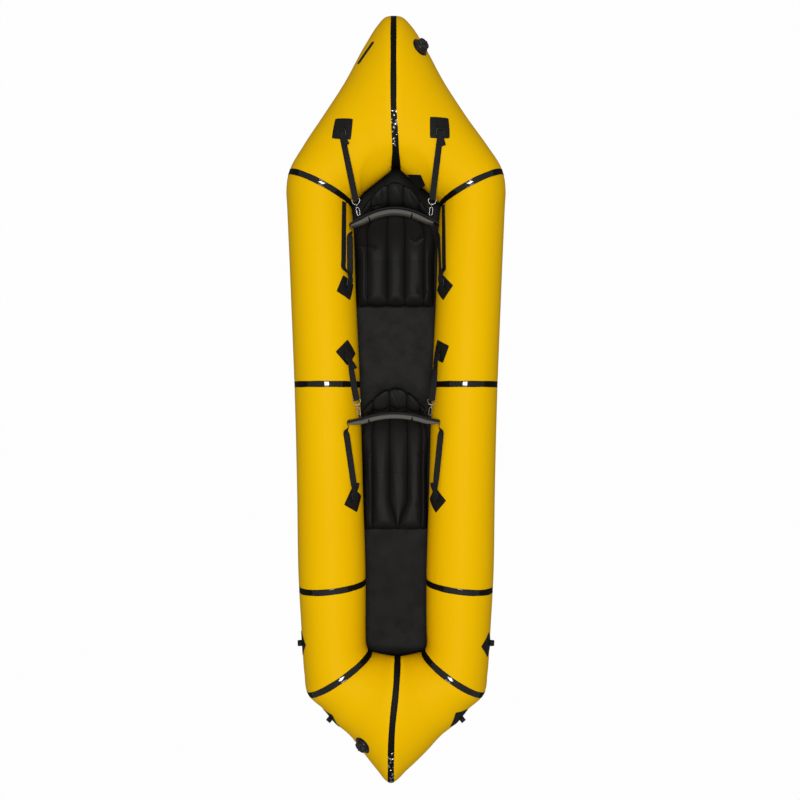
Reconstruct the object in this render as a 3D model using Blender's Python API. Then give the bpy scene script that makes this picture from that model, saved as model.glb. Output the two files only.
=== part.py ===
"""An inflatable raft for two paddlers: a ring of air tubes with raised, pointed ends, a fabric
floor, and two seats whose backrests are held by webbing straps. +X is the port side, +Y the
stern and +Z up; lengths are in metres and the floor's underside is at zero.
"""

import math

import bmesh
import bpy
import numpy as np
from mathutils import Matrix, Vector

# Hull: its plan size, and the air tube that runs round it
HULL_LENGTH = 3.10
HULL_WIDTH = 0.911
HALF_WIDTH = HULL_WIDTH / 2
TUBE_DIAMETER = 0.276
TUBE_WALL = 0.0008
TUBE_FACETS = 20
FLOOR_THICKNESS = 0.0012
GAP = 0.0003
SEAM_SETBACK = GAP / 2

# Seam tapes and patches, bonded on the outside of the tubes
TAPE_WIDTH = 0.025
TAPE_HALF = TAPE_WIDTH / 2
TAPE_THICKNESS = 0.0005
TAPE_LIFT = 0.0006
TAPE_TOP = TAPE_LIFT + TAPE_THICKNESS
FLOOR_TAPE_FACET = 14
FLOOR_DROP = TAPE_TOP + GAP
HULL_BOTTOM = FLOOR_THICKNESS + FLOOR_DROP
PATCH_LIFT = 0.0011
PATCH_THICKNESS = 0.0009
PATCH_TOP = PATCH_LIFT + PATCH_THICKNESS
PATCH_CELLS = 4
SEWN_DEPTH = 0.0007
PATCH_CORNER_SHARE = 0.1
STRAP_PATCH_HALF = 0.034
STERN_PATCH_HALF = 0.038
TIE_PATCH_HALF = 0.037
STERN_STRIP_HALF_LENGTH = 0.051
STERN_STRIP_HALF_WIDTH = 0.0065

# Cuts across the port tube, seam to seam: outer point (x, y), inner point (x, y), how high
# the tube's lowest line lies, and the tube's height, as shares of the half width, the length
# and the tube's diameter
STERN_TUBE_SHARES = (
    (0.0000, 0.4997, 0.0000, 0.3006, 0.3080, 1.1232),
    (0.0892, 0.4975, 0.0491, 0.2956, 0.3007, 1.1196),
    (0.1608, 0.4878, 0.0804, 0.2924, 0.2862, 1.1087),
    (0.2779, 0.4630, 0.1255, 0.2882, 0.2536, 1.0942),
    (0.4508, 0.4193, 0.1848, 0.2832, 0.1957, 1.0688),
    (0.6718, 0.3728, 0.2724, 0.2755, 0.1232, 1.0399),
    (0.8400, 0.3388, 0.3470, 0.2687, 0.0616, 1.0181),
    (0.9809, 0.3038, 0.4125, 0.2627, 0.0181, 1.0036),
)
REAR_SIDE_TUBE_SHARES = (
    (0.9809, 0.3038, 0.4125, 0.2627, 0.0181, 1.0036),
    (1.0033, 0.2826, 0.4039, 0.2515, 0.0036, 1.0000),
    (0.9972, 0.2584, 0.3948, 0.2368, 0.0000, 1.0000),
    (0.9687, 0.1612, 0.3719, 0.1558, 0.0000, 1.0000),
    (0.9301, 0.0202, 0.3306, 0.0202, 0.0000, 1.0000),
)
FRONT_SIDE_TUBE_SHARES = (
    (0.9301, 0.0202, 0.3306, 0.0202, 0.0000, 1.0000),
    (0.9044, -0.1248, 0.3030, -0.1194, 0.0000, 1.0000),
    (0.8861, -0.2543, 0.2801, -0.2449, 0.0000, 1.0000),
)
BOW_SHOULDER_TUBE_SHARES = (
    (0.8861, -0.2543, 0.2801, -0.2449, 0.0000, 1.0000),
    (0.8706, -0.2918, 0.2798, -0.2811, 0.0109, 1.0000),
    (0.8533, -0.3316, 0.2802, -0.3114, 0.0362, 1.0000),
    (0.8336, -0.3656, 0.2758, -0.3294, 0.0725, 0.9964),
    (0.8007, -0.3911, 0.2457, -0.3387, 0.1159, 0.9964),
)
BOW_TUBE_SHARES = (
    (0.8007, -0.3911, 0.2457, -0.3387, 0.1159, 0.9964),
    (0.6534, -0.4100, 0.1951, -0.3391, 0.1522, 0.9928),
    (0.5431, -0.4276, 0.1539, -0.3393, 0.1848, 0.9891),
    (0.4153, -0.4417, 0.1174, -0.3394, 0.2210, 0.9855),
    (0.2877, -0.4616, 0.0809, -0.3388, 0.2754, 0.9819),
    (0.1432, -0.4827, 0.0492, -0.3380, 0.3297, 0.9783),
    (0.0000, -0.5004, 0.0000, -0.3378, 0.3623, 0.9783),
)

# Flat strip on the starboard side of the stern, and the two valves: where they sit in plan
STERN_STRIP_SHARES = (-0.2562, 0.4499)
VALVES = (
    ("stern", "stern_tube", 1, (0.2202, 0.4511)),
    ("bow", "bow_tube", -1, (-0.2880, -0.4447)),
)
VALVE_FACETS = 16
VALVE_RADIUS = 0.026
VALVE_FLANGE = 0.036
VALVE_HEIGHT = 0.011
VALVE_SEAT_RADIUS = 0.017
VALVE_SEAT_DEPTH = 0.0065
VALVE_LIP = 0.0015
CAP_RADIUS = 0.0245
CAP_HEIGHT = 0.009
CAP_EDGE = 0.002
CAP_GRIP_HALF_WIDTH = 0.004
CAP_GRIP_HEIGHT = 0.006

# Webbing, ladder-lock buckles and the loops that hold them
WEBBING_WIDTH = 0.025
WEBBING_THICKNESS = 0.0012
BUCKLE_WIDTH = 0.033
BUCKLE_OPENING = 0.027
BUCKLE_THICKNESS = 0.0036
BUCKLE_BAR = 0.0046
BUCKLE_SLOT = 0.007
BUCKLE_MIDDLE_BAR = 0.004
BUCKLE_LIP = 0.0055
BUCKLE_LENGTH = BUCKLE_BAR / 2 + BUCKLE_SLOT * 2 + BUCKLE_MIDDLE_BAR + BUCKLE_LIP
BAR_TO_PATCH = 0.0085
BAR_SHIFT = 0.008
STRAP_LEAVE = 0.012
TWIST_SPANS = 6
TAIL_LIFT = 0.0015
TAIL_SPANS = 6
# Paths seen from the side, along and above a buckle's bar, as shares of the buckle's length
LOOP_PATH_SHARES = (
    (0.1783, 0.0000),
    (0.1279, 0.1085),
    (0.0000, 0.1512),
    (-0.1938, 0.1085),
    (-0.3876, -0.0581),
    (-0.5426, -0.1938),
    (-0.8527, -0.2674),
    (-0.8876, -0.3004),
    (-0.8527, -0.3333),
    (0.0000, -0.3333),
    (0.1395, -0.1938),
)
THREAD_SHARES = (
    (0.3876, 0.2016),
    (0.2674, 0.1705),
    (0.2442, 0.0930),
    (0.2558, 0.0000),
    (0.2791, -0.0853),
    (0.3605, -0.1202),
    (0.5155, -0.1202),
    (0.5969, -0.0853),
    (0.6434, 0.0000),
    (0.6977, 0.0853),
    (0.7868, 0.1163),
    (1.1628, 0.1202),
)
SHORT_TAIL_SHARES = (
    (0.0000, 1.1628, 0.2248),
    (0.1163, 1.8605, 0.2481),
    (0.2326, 2.7907, 0.2248),
)
LONG_TAIL_START_SHARES = (
    (0.0000, 1.0078, 0.2287),
    (0.3488, 1.3953, 0.2558),
    (0.8527, 1.8217, 0.2132),
)

# Metal fittings between each aft strap and its seat
WIRE_RADIUS = 0.0018
WIRE_FACETS = 6
HOOK_LENGTH = 0.0325
HOOK_BODY_SHARES = (
    (-0.1662, 0.3385),
    (-0.1662, 0.1662),
    (-0.1169, 0.0492),
    (0.0000, 0.0000),
    (0.1169, 0.0492),
    (0.1662, 0.1662),
    (0.1662, 0.8338),
    (0.1169, 0.9508),
    (0.0000, 1.0000),
    (-0.1169, 0.9508),
    (-0.1662, 0.8431),
    (-0.1662, 0.8092),
)
CATCH_ROOM = 0.0036
EYE_RADIUS = 0.0065
EYE_WIRE_RADIUS = 0.0015
EYE_OFFSET = 0.0075
EYE_FACETS = 8
GATE_RADIUS = 0.0014
GATE_PIVOT_SHARES = (-0.1662, 0.7385)
GATE_END_SHARES = (0.3538, 0.7877)
D_RING_DEPTH = 0.020
D_RING_SHARES = (
    (-0.6950, 1.0000),
    (0.6950, 1.0000),
    (0.7650, 0.9350),
    (0.7400, 0.6000),
    (0.5750, 0.2750),
    (0.3250, 0.0650),
    (0.0000, 0.0000),
    (-0.3250, 0.0650),
    (-0.5750, 0.2750),
    (-0.7400, 0.6000),
    (-0.7650, 0.9350),
)
STRAP_END_SHARES = (
    (-2.2500, 0.0450),
    (-1.2500, 0.0450),
    (-0.5000, 0.1100),
    (-0.1000, 0.1400),
    (0.0600, 0.1250),
    (0.1400, 0.0000),
    (0.0600, -0.1250),
    (-0.1000, -0.1400),
    (-0.5000, -0.1100),
    (-1.2500, -0.0450),
    (-1.9000, -0.0450),
)

# Tie-down loops
TIE_WIDTH = 0.020
TIE_HALF_SPAN = 0.013
TIE_HEIGHT = 0.016
TIE_LOOP_SHARES = (
    (-0.85, 0.0),
    (-1.05, 0.35),
    (-0.75, 0.85),
    (0.0, 1.0),
    (0.75, 0.85),
    (1.05, 0.35),
    (0.85, 0.0),
    (0.0, 0.0),
)
# Where each pair of tie-downs is: name, tube, share of the length, angle up the tube's side
TIE_DOWNS = (
    ("forward", "side_tube", -0.3243, math.radians(14)),
    ("bow", "bow_tube", -0.4200, math.radians(18)),
)

# Seats
RIB_EDGE_SHARES = (-1.0, -0.753, -0.247, 0.247, 0.753, 1.0)
RIB_STEP_SHARES = (-1.0, -0.5, 0.5)
CUSHION_CROWN = 0.100
CUSHION_VALLEY = 0.078
CUSHION_SIDE = 0.045
CUSHION_SCALLOP = 0.020
CUSHION_ROWS = 11
CUSHION_SQUARENESS = 4.5
BACK_CROWN = 0.044
BACK_VALLEY = 0.026
BACK_SIDE = 0.012
BACK_ROUND = 0.020
BACK_END_SHARES = (0.0, 0.1, 0.4, 1.0)
BACK_SPANS = 6
BACK_THINNING_SHARE = 0.3
BACK_ARCH = 0.10
BACK_NARROWING = 0.030
BAND_RISE_SHARE = 0.4
BAND_THICKNESS = 0.020
BAND_HEIGHT = 0.050
BACKING_THICKNESS = 0.006
BACKING_HEIGHT = 0.054
BAND_SPANS = 12
BAND_CLEARANCE = 0.0007
HOOK_LOOP_WIDTH = 0.0045
HOOK_LOOP_REACH = 0.136
HOOK_LOOP_RISE = 0.014
HOOK_LOOP_HALF_DEPTH = 0.010
HOOK_LOOP_SEWN_DEPTH = 0.0035
HOOK_LOOP_HALF_HEIGHT = 0.005
HOOK_LOOP_FACETS = 10
STRAP_DROP = 0.012

# Each seat: its places and sizes as shares of the half width (x), length (y) and tube (z)
SEAT_TABLE = (
    (
        "rear",
        {
            "x_share": -0.0100,
            "half_width_share": 0.333,
            "rear_y_share": 0.2297,
            "front_y_share": 0.1307,
            "hinge_y_share": 0.2055,
            "band_half_share": 0.3732,
            "band_z_share": 0.9493,
            "band_sag_share": 0.1098,
            "back_path_shares": (
    (0.0000, 0.0000),
    (0.2174, 0.1087),
    (0.4167, 0.2355),
    (0.5181, 0.3804),
    (0.5344, 0.5254),
    (0.5725, 0.6341),
    (0.6703, 0.7065),
    (0.7790, 0.7246),
),
        },
    ),
    (
        "front",
        {
            "x_share": -0.0100,
            "half_width_share": 0.2860,
            "rear_y_share": -0.0587,
            "front_y_share": -0.1791,
            "hinge_y_share": -0.0829,
            "band_half_share": 0.3864,
            "band_z_share": 1.0036,
            "band_sag_share": 0.0483,
            "back_path_shares": (
    (0.0000, 0.0000),
    (0.2536, 0.0906),
    (0.5254, 0.1993),
    (0.7138, 0.3080),
    (0.7862, 0.4348),
    (0.7989, 0.5616),
    (0.8406, 0.6703),
    (0.9420, 0.7428),
    (1.0688, 0.7609),
),
        },
    ),
)

# Each strap's patch: tube panel, place in plan, the way its edges run, and its half width
STRAP_TABLE = {
    ("rear", "aft", 1): ("stern_tube", (0.3815, 0.3455), (0.14, 1.0), STERN_PATCH_HALF),
    ("rear", "aft", -1): ("stern_tube", (-0.4627, 0.3454), (-0.14, 1.0), STERN_PATCH_HALF),
    ("rear", "fore", 1): ("side_tube", (0.4259, 0.1482), (1.0, 1.0), STRAP_PATCH_HALF),
    ("rear", "fore", -1): ("side_tube", (-0.4439, 0.1476), (1.0, 1.0), STRAP_PATCH_HALF),
    ("front", "aft", 1): ("side_tube", (0.3922, 0.0616), (1.0, 1.0), STRAP_PATCH_HALF),
    ("front", "aft", -1): ("side_tube", (-0.4386, 0.0609), (1.0, 1.0), STRAP_PATCH_HALF),
    ("front", "fore", 1): ("side_tube", (0.3655, -0.1323), (1.0, 1.0), STRAP_PATCH_HALF),
    ("front", "fore", -1): ("side_tube", (-0.3789, -0.1323), (1.0, 1.0), STRAP_PATCH_HALF),
}
# The two long loose ends that lie along the tube: plan places from the buckle to the stern
LONG_TAILS = {
    ("rear", 1): ((0.4694, 0.1938), (0.4279, 0.2574)),
    ("rear", -1): ((-0.4962, 0.1938), (-0.4636, 0.2600)),
}


def sized_cuts(shares, side):
    """Rows of shares turned into lengths, on one side of the hull."""
    sizes = (HALF_WIDTH, HULL_LENGTH, HALF_WIDTH, HULL_LENGTH, TUBE_DIAMETER, TUBE_DIAMETER)
    rows = np.array(shares) * np.array(sizes)
    rows[:, 4] += HULL_BOTTOM
    rows[:, (0, 2)] *= side
    return rows


def section(tables, side):
    """The cuts through one tube, and which of them are seams inside it.

    There is a cut at both edges of every seam tape, and the end cuts keep clear of the next tube.
    """
    cuts, seams = [], []
    for i, shares in enumerate(tables):
        rows = sized_cuts(shares, side)
        first, second, last, before = rows[0], rows[1], rows[-1], rows[-2]
        cuts += [beside(first, second, TAPE_HALF), *rows[1:-1], beside(last, before, TAPE_HALF)]
        if i + 1 < len(tables):
            seams.append(len(cuts) + 1)
            cuts.append(last)
    first, last = sized_cuts(tables[0], side), sized_cuts(tables[-1], side)
    cuts.insert(0, beside(first[0], first[1], SEAM_SETBACK))
    cuts.append(beside(last[-1], last[-2], SEAM_SETBACK))
    return np.array(cuts), seams


def station(cuts, y):
    """Where along the tube its outer edge passes this y."""
    for i, (near, far) in enumerate(zip(cuts, cuts[1:])):
        if far[1] <= y <= near[1]:
            return i + (near[1] - y) / (near[1] - far[1])
    return 0.0


def beside(seam, beyond, distance):
    """The cut that runs parallel to a seam at this distance, on the way to the next cut."""
    along = seam[0:2] - seam[2:4]
    across = np.array((-along[1], along[0])) / np.linalg.norm(along)
    cut = seam.copy()
    shares = []
    for i in (0, 2):
        reach = abs((beyond[i : i + 2] - seam[i : i + 2]) @ across)
        shares.append(distance / reach)
        cut[i : i + 2] = seam[i : i + 2] + (beyond[i : i + 2] - seam[i : i + 2]) * shares[-1]
    cut[4:] = seam[4:] + (beyond[4:] - seam[4:]) * sum(shares) / len(shares)
    return cut


def cut_point(row, angle):
    """A point of the tube's outline in one cut: angle 0 is outermost and a right angle is on top."""
    middle = (row[0:2] + row[2:4]) / 2
    plan = middle + (row[0:2] - row[2:4]) / 2 * math.cos(angle)
    return Vector((plan[0], plan[1], row[4] + row[5] / 2 * (1 + math.sin(angle))))


def cut_at(cuts, s):
    i = min(max(int(s), 0), len(cuts) - 2)
    return cuts[i] + (cuts[i + 1] - cuts[i]) * (s - i)


def tube_point(cuts, s, angle):
    return cut_point(cut_at(cuts, s), angle)


def tube_normal(cuts, s, angle):
    """The outward direction at a point of the tube."""
    step = 0.02
    along = tube_point(cuts, min(s + step, len(cuts) - 1), angle) - tube_point(cuts, max(s - step, 0), angle)
    around = tube_point(cuts, s, angle + step) - tube_point(cuts, s, angle - step)
    normal = around.cross(along).normalized()
    row = cut_at(cuts, s)
    middle = (row[0:2] + row[2:4]) / 2
    out = tube_point(cuts, s, angle) - Vector((middle[0], middle[1], row[4] + row[5] / 2))
    return normal if normal.dot(out) > 0 else -normal


def tube_angles():
    return [2 * math.pi * k / TUBE_FACETS for k in range(TUBE_FACETS)]


def ring(cuts, s, lift):
    """The tube's outline at one cut, moved out by lift."""
    return [tube_point(cuts, s, a) + tube_normal(cuts, s, a) * lift for a in tube_angles()]


def inner_ring(cuts, s):
    """The outline of the tube's inside at one cut, kept in the cut's own plane."""
    row = cut_at(cuts, s)
    across = Vector((row[1] - row[3], row[2] - row[0], 0)).normalized()
    points = []
    for a in tube_angles():
        normal = tube_normal(cuts, s, a)
        flat = (normal - across * normal.dot(across)).normalized()
        points.append(tube_point(cuts, s, a) - flat * TUBE_WALL)
    return points


def locate(cuts, x, y):
    """Where the tube's upper side passes over a point of the plan, as (s, angle)."""
    target = Vector((x, y))
    best = (0.0, 0.0)
    low, high = (0.0, 0.05), (len(cuts) - 1.0, math.pi - 0.05)
    for _ in range(7):
        steps = 14
        found = []
        for i in range(steps + 1):
            for j in range(steps + 1):
                s = low[0] + (high[0] - low[0]) * i / steps
                angle = low[1] + (high[1] - low[1]) * j / steps
                found.append(((tube_point(cuts, s, angle).to_2d() - target).length, s, angle))
        best = min(found)[1:]
        spans = ((high[0] - low[0]) / steps, (high[1] - low[1]) / steps)
        low = (max(best[0] - spans[0] * 2, 0), best[1] - spans[1] * 2)
        high = (min(best[0] + spans[0] * 2, len(cuts) - 1), best[1] + spans[1] * 2)
    return best


def landing(cuts, s, angle, target, frame):
    """The point of the tube straight below target, seen along the frame's Z axis."""
    across, along = frame.col[0].to_3d(), frame.col[1].to_3d()
    step = 0.001

    def miss(s, angle):
        off = tube_point(cuts, s, angle) - target
        return np.array((off.dot(across), off.dot(along)))

    for _ in range(8):
        here = miss(s, angle)
        slopes = np.column_stack(
            ((miss(s + step, angle) - here) / step, (miss(s, angle + step) - here) / step)
        )
        move = np.linalg.solve(slopes, -here)
        s = min(max(s + float(np.clip(move[0], -0.5, 0.5)), 0), len(cuts) - 1)
        angle += float(np.clip(move[1], -0.3, 0.3))
    return s, angle


def tube_frame(cuts, s, angle, turn=0.0):
    """A frame on the tube's surface: Y along the tube, Z outward, turned about Z."""
    middle = cut_at(cuts, min(s + 0.5, len(cuts) - 1)) - cut_at(cuts, max(s - 0.5, 0))
    along = Vector(((middle[0] + middle[2]) / 2, (middle[1] + middle[3]) / 2, middle[4]))
    up = tube_normal(cuts, s, angle)
    return frame_of(tube_point(cuts, s, angle), along, up) @ Matrix.Rotation(turn, 4, "Z")


def frame_of(place, along, up):
    """A frame with Y along, and Z as near to up as it can be."""
    y = along.normalized()
    z = (up - y * up.dot(y)).normalized()
    x = y.cross(z)
    frame = Matrix((x, y, z)).transposed().to_4x4()
    frame.translation = place
    return frame


def level_frame(place, along, up):
    """A frame with Z along up, and Y as near to along as it can be."""
    z = up.normalized()
    y = (along - z * along.dot(z)).normalized()
    x = y.cross(z)
    frame = Matrix((x, y, z)).transposed().to_4x4()
    frame.translation = place
    return frame


class Shell:
    """Gathers closed bodies into one mesh."""

    def __init__(self):
        self.points = []
        self.faces = []

    def loft(self, loops, wrap=False):
        """A body through closed loops of points, capped at both ends unless it wraps round."""
        start = len(self.points)
        size = len(loops[0])
        for loop in loops:
            self.points += [tuple(p) for p in loop]
        count = len(loops)
        for i in range(count if wrap else count - 1):
            a = start + i * size
            b = start + (i + 1) % count * size
            for k in range(size):
                n = (k + 1) % size
                self.faces.append((a + k, a + n, b + n, b + k))
        if not wrap:
            self.faces.append(tuple(start + k for k in reversed(range(size))))
            self.faces.append(tuple(start + (count - 1) * size + k for k in range(size)))

    def sheet(self, low, high, kept):
        """A body between two grids of points, in the kept cells; a grid may close on itself."""
        rows, columns = len(low), len(low[0])
        place = {}

        def corner(grid, i, j):
            key = (grid, i % rows, j % columns)
            if key not in place:
                place[key] = len(self.points)
                self.points.append(tuple((low, high)[grid][key[1]][key[2]]))
            return place[key]

        for i, j in sorted(kept):
            square = ((i, j), (i, j + 1), (i + 1, j + 1), (i + 1, j))
            self.faces.append(tuple(corner(0, *at) for at in square[::-1]))
            self.faces.append(tuple(corner(1, *at) for at in square))
            for k, (a, b) in enumerate(((i - 1, j), (i, j + 1), (i + 1, j), (i, j - 1))):
                if (a % rows, b % columns) not in kept:
                    p, q = square[k], square[(k + 1) % 4]
                    self.faces.append((corner(0, *p), corner(0, *q), corner(1, *q), corner(1, *p)))

    def plate(self, low, high):
        """A body between two whole grids of points."""
        self.sheet(low, high, {(i, j) for i in range(len(low) - 1) for j in range(len(low[0]) - 1)})

    def add(self, name, material, frame=None, parent=None, crease=40, joined=(), split=False):
        """Makes the object, with its origin and axes at frame and other bodies joined to it.

        Split quads are divided along the shorter diagonal, so that stacked skins divide alike.
        """
        mesh = bpy.data.meshes.new(name)
        points = [Vector(p) for p in self.points]
        if frame is not None:
            back = frame.inverted()
            points = [back @ p for p in points]
        mesh.from_pydata(points, [], self.faces)
        body = bmesh.new()
        body.from_mesh(mesh)
        bmesh.ops.recalc_face_normals(body, faces=body.faces)
        if split:
            bmesh.ops.triangulate(body, faces=body.faces, quad_method="SHORT_EDGE")
        body.to_mesh(mesh)
        body.free()
        mesh.shade_smooth()
        mesh.set_sharp_from_angle(angle=math.radians(crease))
        mesh.materials.append(material)
        obj = bpy.data.objects.new(name, mesh)
        bpy.context.scene.collection.objects.link(obj)
        for k, other in enumerate(joined):
            part = other.add(f"{name}_part_{k + 1}", material)
            part.hide_render = True
            part.display_type = "WIRE"
            union = obj.modifiers.new(f"Join {k + 1}", "BOOLEAN")
            union.operation = "UNION"
            union.object = part
        if frame is not None:
            obj.matrix_world = frame
        if parent is not None:
            bpy.context.view_layer.update()
            world = obj.matrix_world.copy()
            obj.parent = parent
            obj.matrix_parent_inverse = parent.matrix_world.inverted()
            obj.matrix_world = world
        return obj


def material(name, color, roughness, metallic=0.0):
    made = bpy.data.materials.new(name)
    made.use_nodes = True
    shader = made.node_tree.nodes["Principled BSDF"]
    shader.inputs["Base Color"].default_value = (*color, 1.0)
    shader.inputs["Roughness"].default_value = roughness
    shader.inputs["Metallic"].default_value = metallic
    return made


def ribbon_loops(points, sides, width, thickness):
    """Four-cornered outlines along a path of webbing; sides give its width direction."""
    loops = []
    count = len(points)
    for i, point in enumerate(points):
        ahead = (points[min(i + 1, count - 1)] - point).normalized()
        behind = (point - points[max(i - 1, 0)]).normalized()
        along = (ahead + behind).normalized()
        side = (sides[i] - along * sides[i].dot(along)).normalized()
        up = side.cross(along)
        bend = ahead if behind.length == 0 else behind
        stretch = 1 / max(abs(along.dot(bend)), 0.5)
        half = side * (width / 2)
        rise = up * (thickness / 2 * stretch)
        loops.append((point + half + rise, point - half + rise, point - half - rise, point + half - rise))
    return loops


def closed_band_loops(points, side, width, thickness):
    """The same for a band that closes on itself, in a plane square to side."""
    loops = []
    count = len(points)
    for i, point in enumerate(points):
        ahead = (points[(i + 1) % count] - point).normalized()
        behind = (point - points[i - 1]).normalized()
        along = (ahead + behind).normalized()
        up = side.cross(along).normalized()
        stretch = 1 / max(abs(along.dot(behind)), 0.5)
        half = side * (width / 2)
        rise = up * (thickness / 2 * stretch)
        loops.append((point + half + rise, point - half + rise, point - half - rise, point + half - rise))
    return loops


def wire_loops(points, radius, up, closed=False):
    """Round outlines along a flat path of wire; up is square to the path's plane."""
    loops = []
    count = len(points)
    for i, point in enumerate(points):
        if closed:
            ahead, behind = points[(i + 1) % count] - point, point - points[i - 1]
        else:
            ahead = points[min(i + 1, count - 1)] - point
            behind = point - points[max(i - 1, 0)]
        along = (ahead.normalized() + behind.normalized()).normalized()
        out = up.cross(along).normalized()
        angles = [2 * math.pi * k / WIRE_FACETS for k in range(WIRE_FACETS)]
        loops.append([point + (out * math.cos(a) + up * math.sin(a)) * radius for a in angles])
    return loops


def placed(frame, shares, size):
    """Points of a frame from rows of two or three shares of a size."""
    return [frame @ (Vector((*row, 0)[:3]) * size) for row in shares]


def patch_grid(cuts, frame, s, angle, half_x, half_y, lift, shape):
    """Points of a patch laid on the tube; shape maps the unit square to the patch's outline."""
    origin = frame.translation
    up = frame.col[2].to_3d()
    grid = []
    for i in range(PATCH_CELLS + 1):
        row = []
        for j in range(PATCH_CELLS + 1):
            a, b = shape(2 * j / PATCH_CELLS - 1, 2 * i / PATCH_CELLS - 1)
            target = frame @ Vector((a * half_x, b * half_y, 0))
            p, q = landing(cuts, s, angle, target, frame)
            row.append(tube_point(cuts, p, q) + tube_normal(cuts, p, q) * lift)
        grid.append(row)
    return grid


def rounded_square(a, b):
    pull = 1 - PATCH_CORNER_SHARE * (a * b) ** 2
    return a * pull, b * pull


def disc(a, b):
    return a * math.sqrt(1 - b * b / 2), b * math.sqrt(1 - a * a / 2)


def lay_patch(shell, cuts, s, angle, frame, half_x, half_y, shape=rounded_square):
    """Adds a patch laid on the tube, with its edges along the frame's axes."""
    lower = patch_grid(cuts, frame, s, angle, half_x, half_y, PATCH_LIFT, shape)
    upper = patch_grid(cuts, frame, s, angle, half_x, half_y, PATCH_TOP, shape)
    shell.plate(lower, upper)


def rib(share):
    """How far the ribbed surface bulges at this share of its half width, from 0 to 1."""
    for low, high in zip(RIB_EDGE_SHARES, RIB_EDGE_SHARES[1:]):
        if share <= high:
            t = (2 * share - low - high) / (high - low)
            return math.sqrt(max(0.0, 1 - t * t))
    return 0.0


def rib_columns():
    columns = []
    for low, high in zip(RIB_EDGE_SHARES, RIB_EDGE_SHARES[1:]):
        columns += [(low + high) / 2 + (high - low) / 2 * t for t in RIB_STEP_SHARES]
    return columns + [RIB_EDGE_SHARES[-1]]


for leftover in list(bpy.data.objects):
    bpy.data.objects.remove(leftover)

HULL_YELLOW = material("hull_fabric", (0.871, 0.515, 0.004), 0.38)
TAPE_BLACK = material("seam_tape", (0.012, 0.012, 0.013), 0.22)
FLOOR_BLACK = material("floor_fabric", (0.022, 0.022, 0.024), 0.55)
PATCH_BLACK = material("patch_fabric", (0.024, 0.024, 0.026), 0.6)
WEBBING_BLACK = material("webbing", (0.028, 0.028, 0.031), 0.75)
SEAT_BLACK = material("seat_fabric", (0.026, 0.026, 0.028), 0.5)
BAND_GREY = material("band_foam", (0.23, 0.215, 0.20), 0.8)
PLASTIC_BLACK = material("black_plastic", (0.018, 0.018, 0.02), 0.4)
FITTING_METAL = material("fitting_metal", (0.72, 0.72, 0.74), 0.25, 1.0)


# Air tubes: stern, side and bow on each side, butted at the seams
PANELS = (
    ("stern_tube", (STERN_TUBE_SHARES,)),
    ("side_tube", (REAR_SIDE_TUBE_SHARES, FRONT_SIDE_TUBE_SHARES, BOW_SHOULDER_TUBE_SHARES)),
    ("bow_tube", (BOW_TUBE_SHARES,)),
)
SIDES = (("port", 1), ("starboard", -1))
SIDE_NAMES = {side: side_name for side_name, side in SIDES}
TUBES = {}
SEAMS = {}
for side_name, side in SIDES:
    for panel_name, tables in PANELS:
        cuts, seams = section(tables, side)
        TUBES[panel_name, side] = cuts
        SEAMS[panel_name, side] = seams
        outer = [ring(cuts, i, 0) for i in range(len(cuts))]
        inner = [inner_ring(cuts, i) for i in range(len(cuts))]
        panel = Shell()
        panel.loft(outer + inner[::-1], wrap=True)
        panel.add(f"{panel_name}_{side_name}", HULL_YELLOW, crease=60, split=True)


# Seam tapes: a band round the tube over every seam, joined by the one along the floor's edge
def seam_ring(seam, first, first_index, second, second_index, lift):
    """The tape's outline over a seam, where the two tubes' surfaces may meet at an angle."""
    outline = []
    for a in tube_angles():
        one = tube_normal(first, first_index, a)
        mean = (one + tube_normal(second, second_index, a)).normalized()
        outline.append(cut_point(seam, a) + mean * (lift / max(mean.dot(one), 0.4)))
    return outline


def side_rings(side, lift):
    """Outlines of one side's tubes from stern to bow, moved out by lift, and which are seams."""
    rings, seams = [], []
    for i, (name, tables) in enumerate(PANELS):
        cuts = TUBES[name, side]
        if i > 0:
            before = TUBES[PANELS[i - 1][0], side]
            seam = sized_cuts(tables[0], side)[0]
            seams.append(len(rings))
            rings.append(seam_ring(seam, before, len(before) - 2, cuts, 1, lift))
        seams += [len(rings) + k - 1 for k in SEAMS[name, side]]
        rings += [ring(cuts, k, lift) for k in range(1, len(cuts) - 1)]
    return rings, seams


def hull_rings(lift):
    """Outlines right round the hull, down the port side and back up the other, and the seams."""
    port, port_seams = side_rings(1, lift)
    starboard, _ = side_rings(-1, lift)
    ends = []
    for (name, tables), row, index in ((PANELS[0], 0, 1), (PANELS[-1], -1, -2)):
        one, other = TUBES[name, 1], TUBES[name, -1]
        index %= len(one)
        ends.append(seam_ring(sized_cuts(tables[row], 1)[row], one, index, other, index, lift))
    rings = [ends[0], *port, ends[1], *starboard[::-1]]
    seams = [0, len(port) + 1]
    for k in port_seams:
        seams += [k + 1, len(rings) - 1 - k]
    return rings, seams


low, seams = hull_rings(TAPE_LIFT)
high, _ = hull_rings(TAPE_TOP)
taped = {(i % len(low), k) for seam in seams for i in (seam - 1, seam) for k in range(TUBE_FACETS)}
taped |= {(i, FLOOR_TAPE_FACET) for i in range(len(low))}
tapes = Shell()
tapes.sheet(low, high, taped)
tapes.add("seam_tapes", TAPE_BLACK, crease=60, split=True)


# Floor: fabric bonded to the lowest line of the tubes, flat amidships and raised at both ends
def floor_rows(names):
    rows = []
    for name in names:
        for cut in TUBES[name, 1]:
            row = cut_point(cut, -math.pi / 2)
            if row.x > TAPE_HALF and (not rows or rows[-1].y - row.y > GAP * 2):
                rows.append(row)
    return rows


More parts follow.
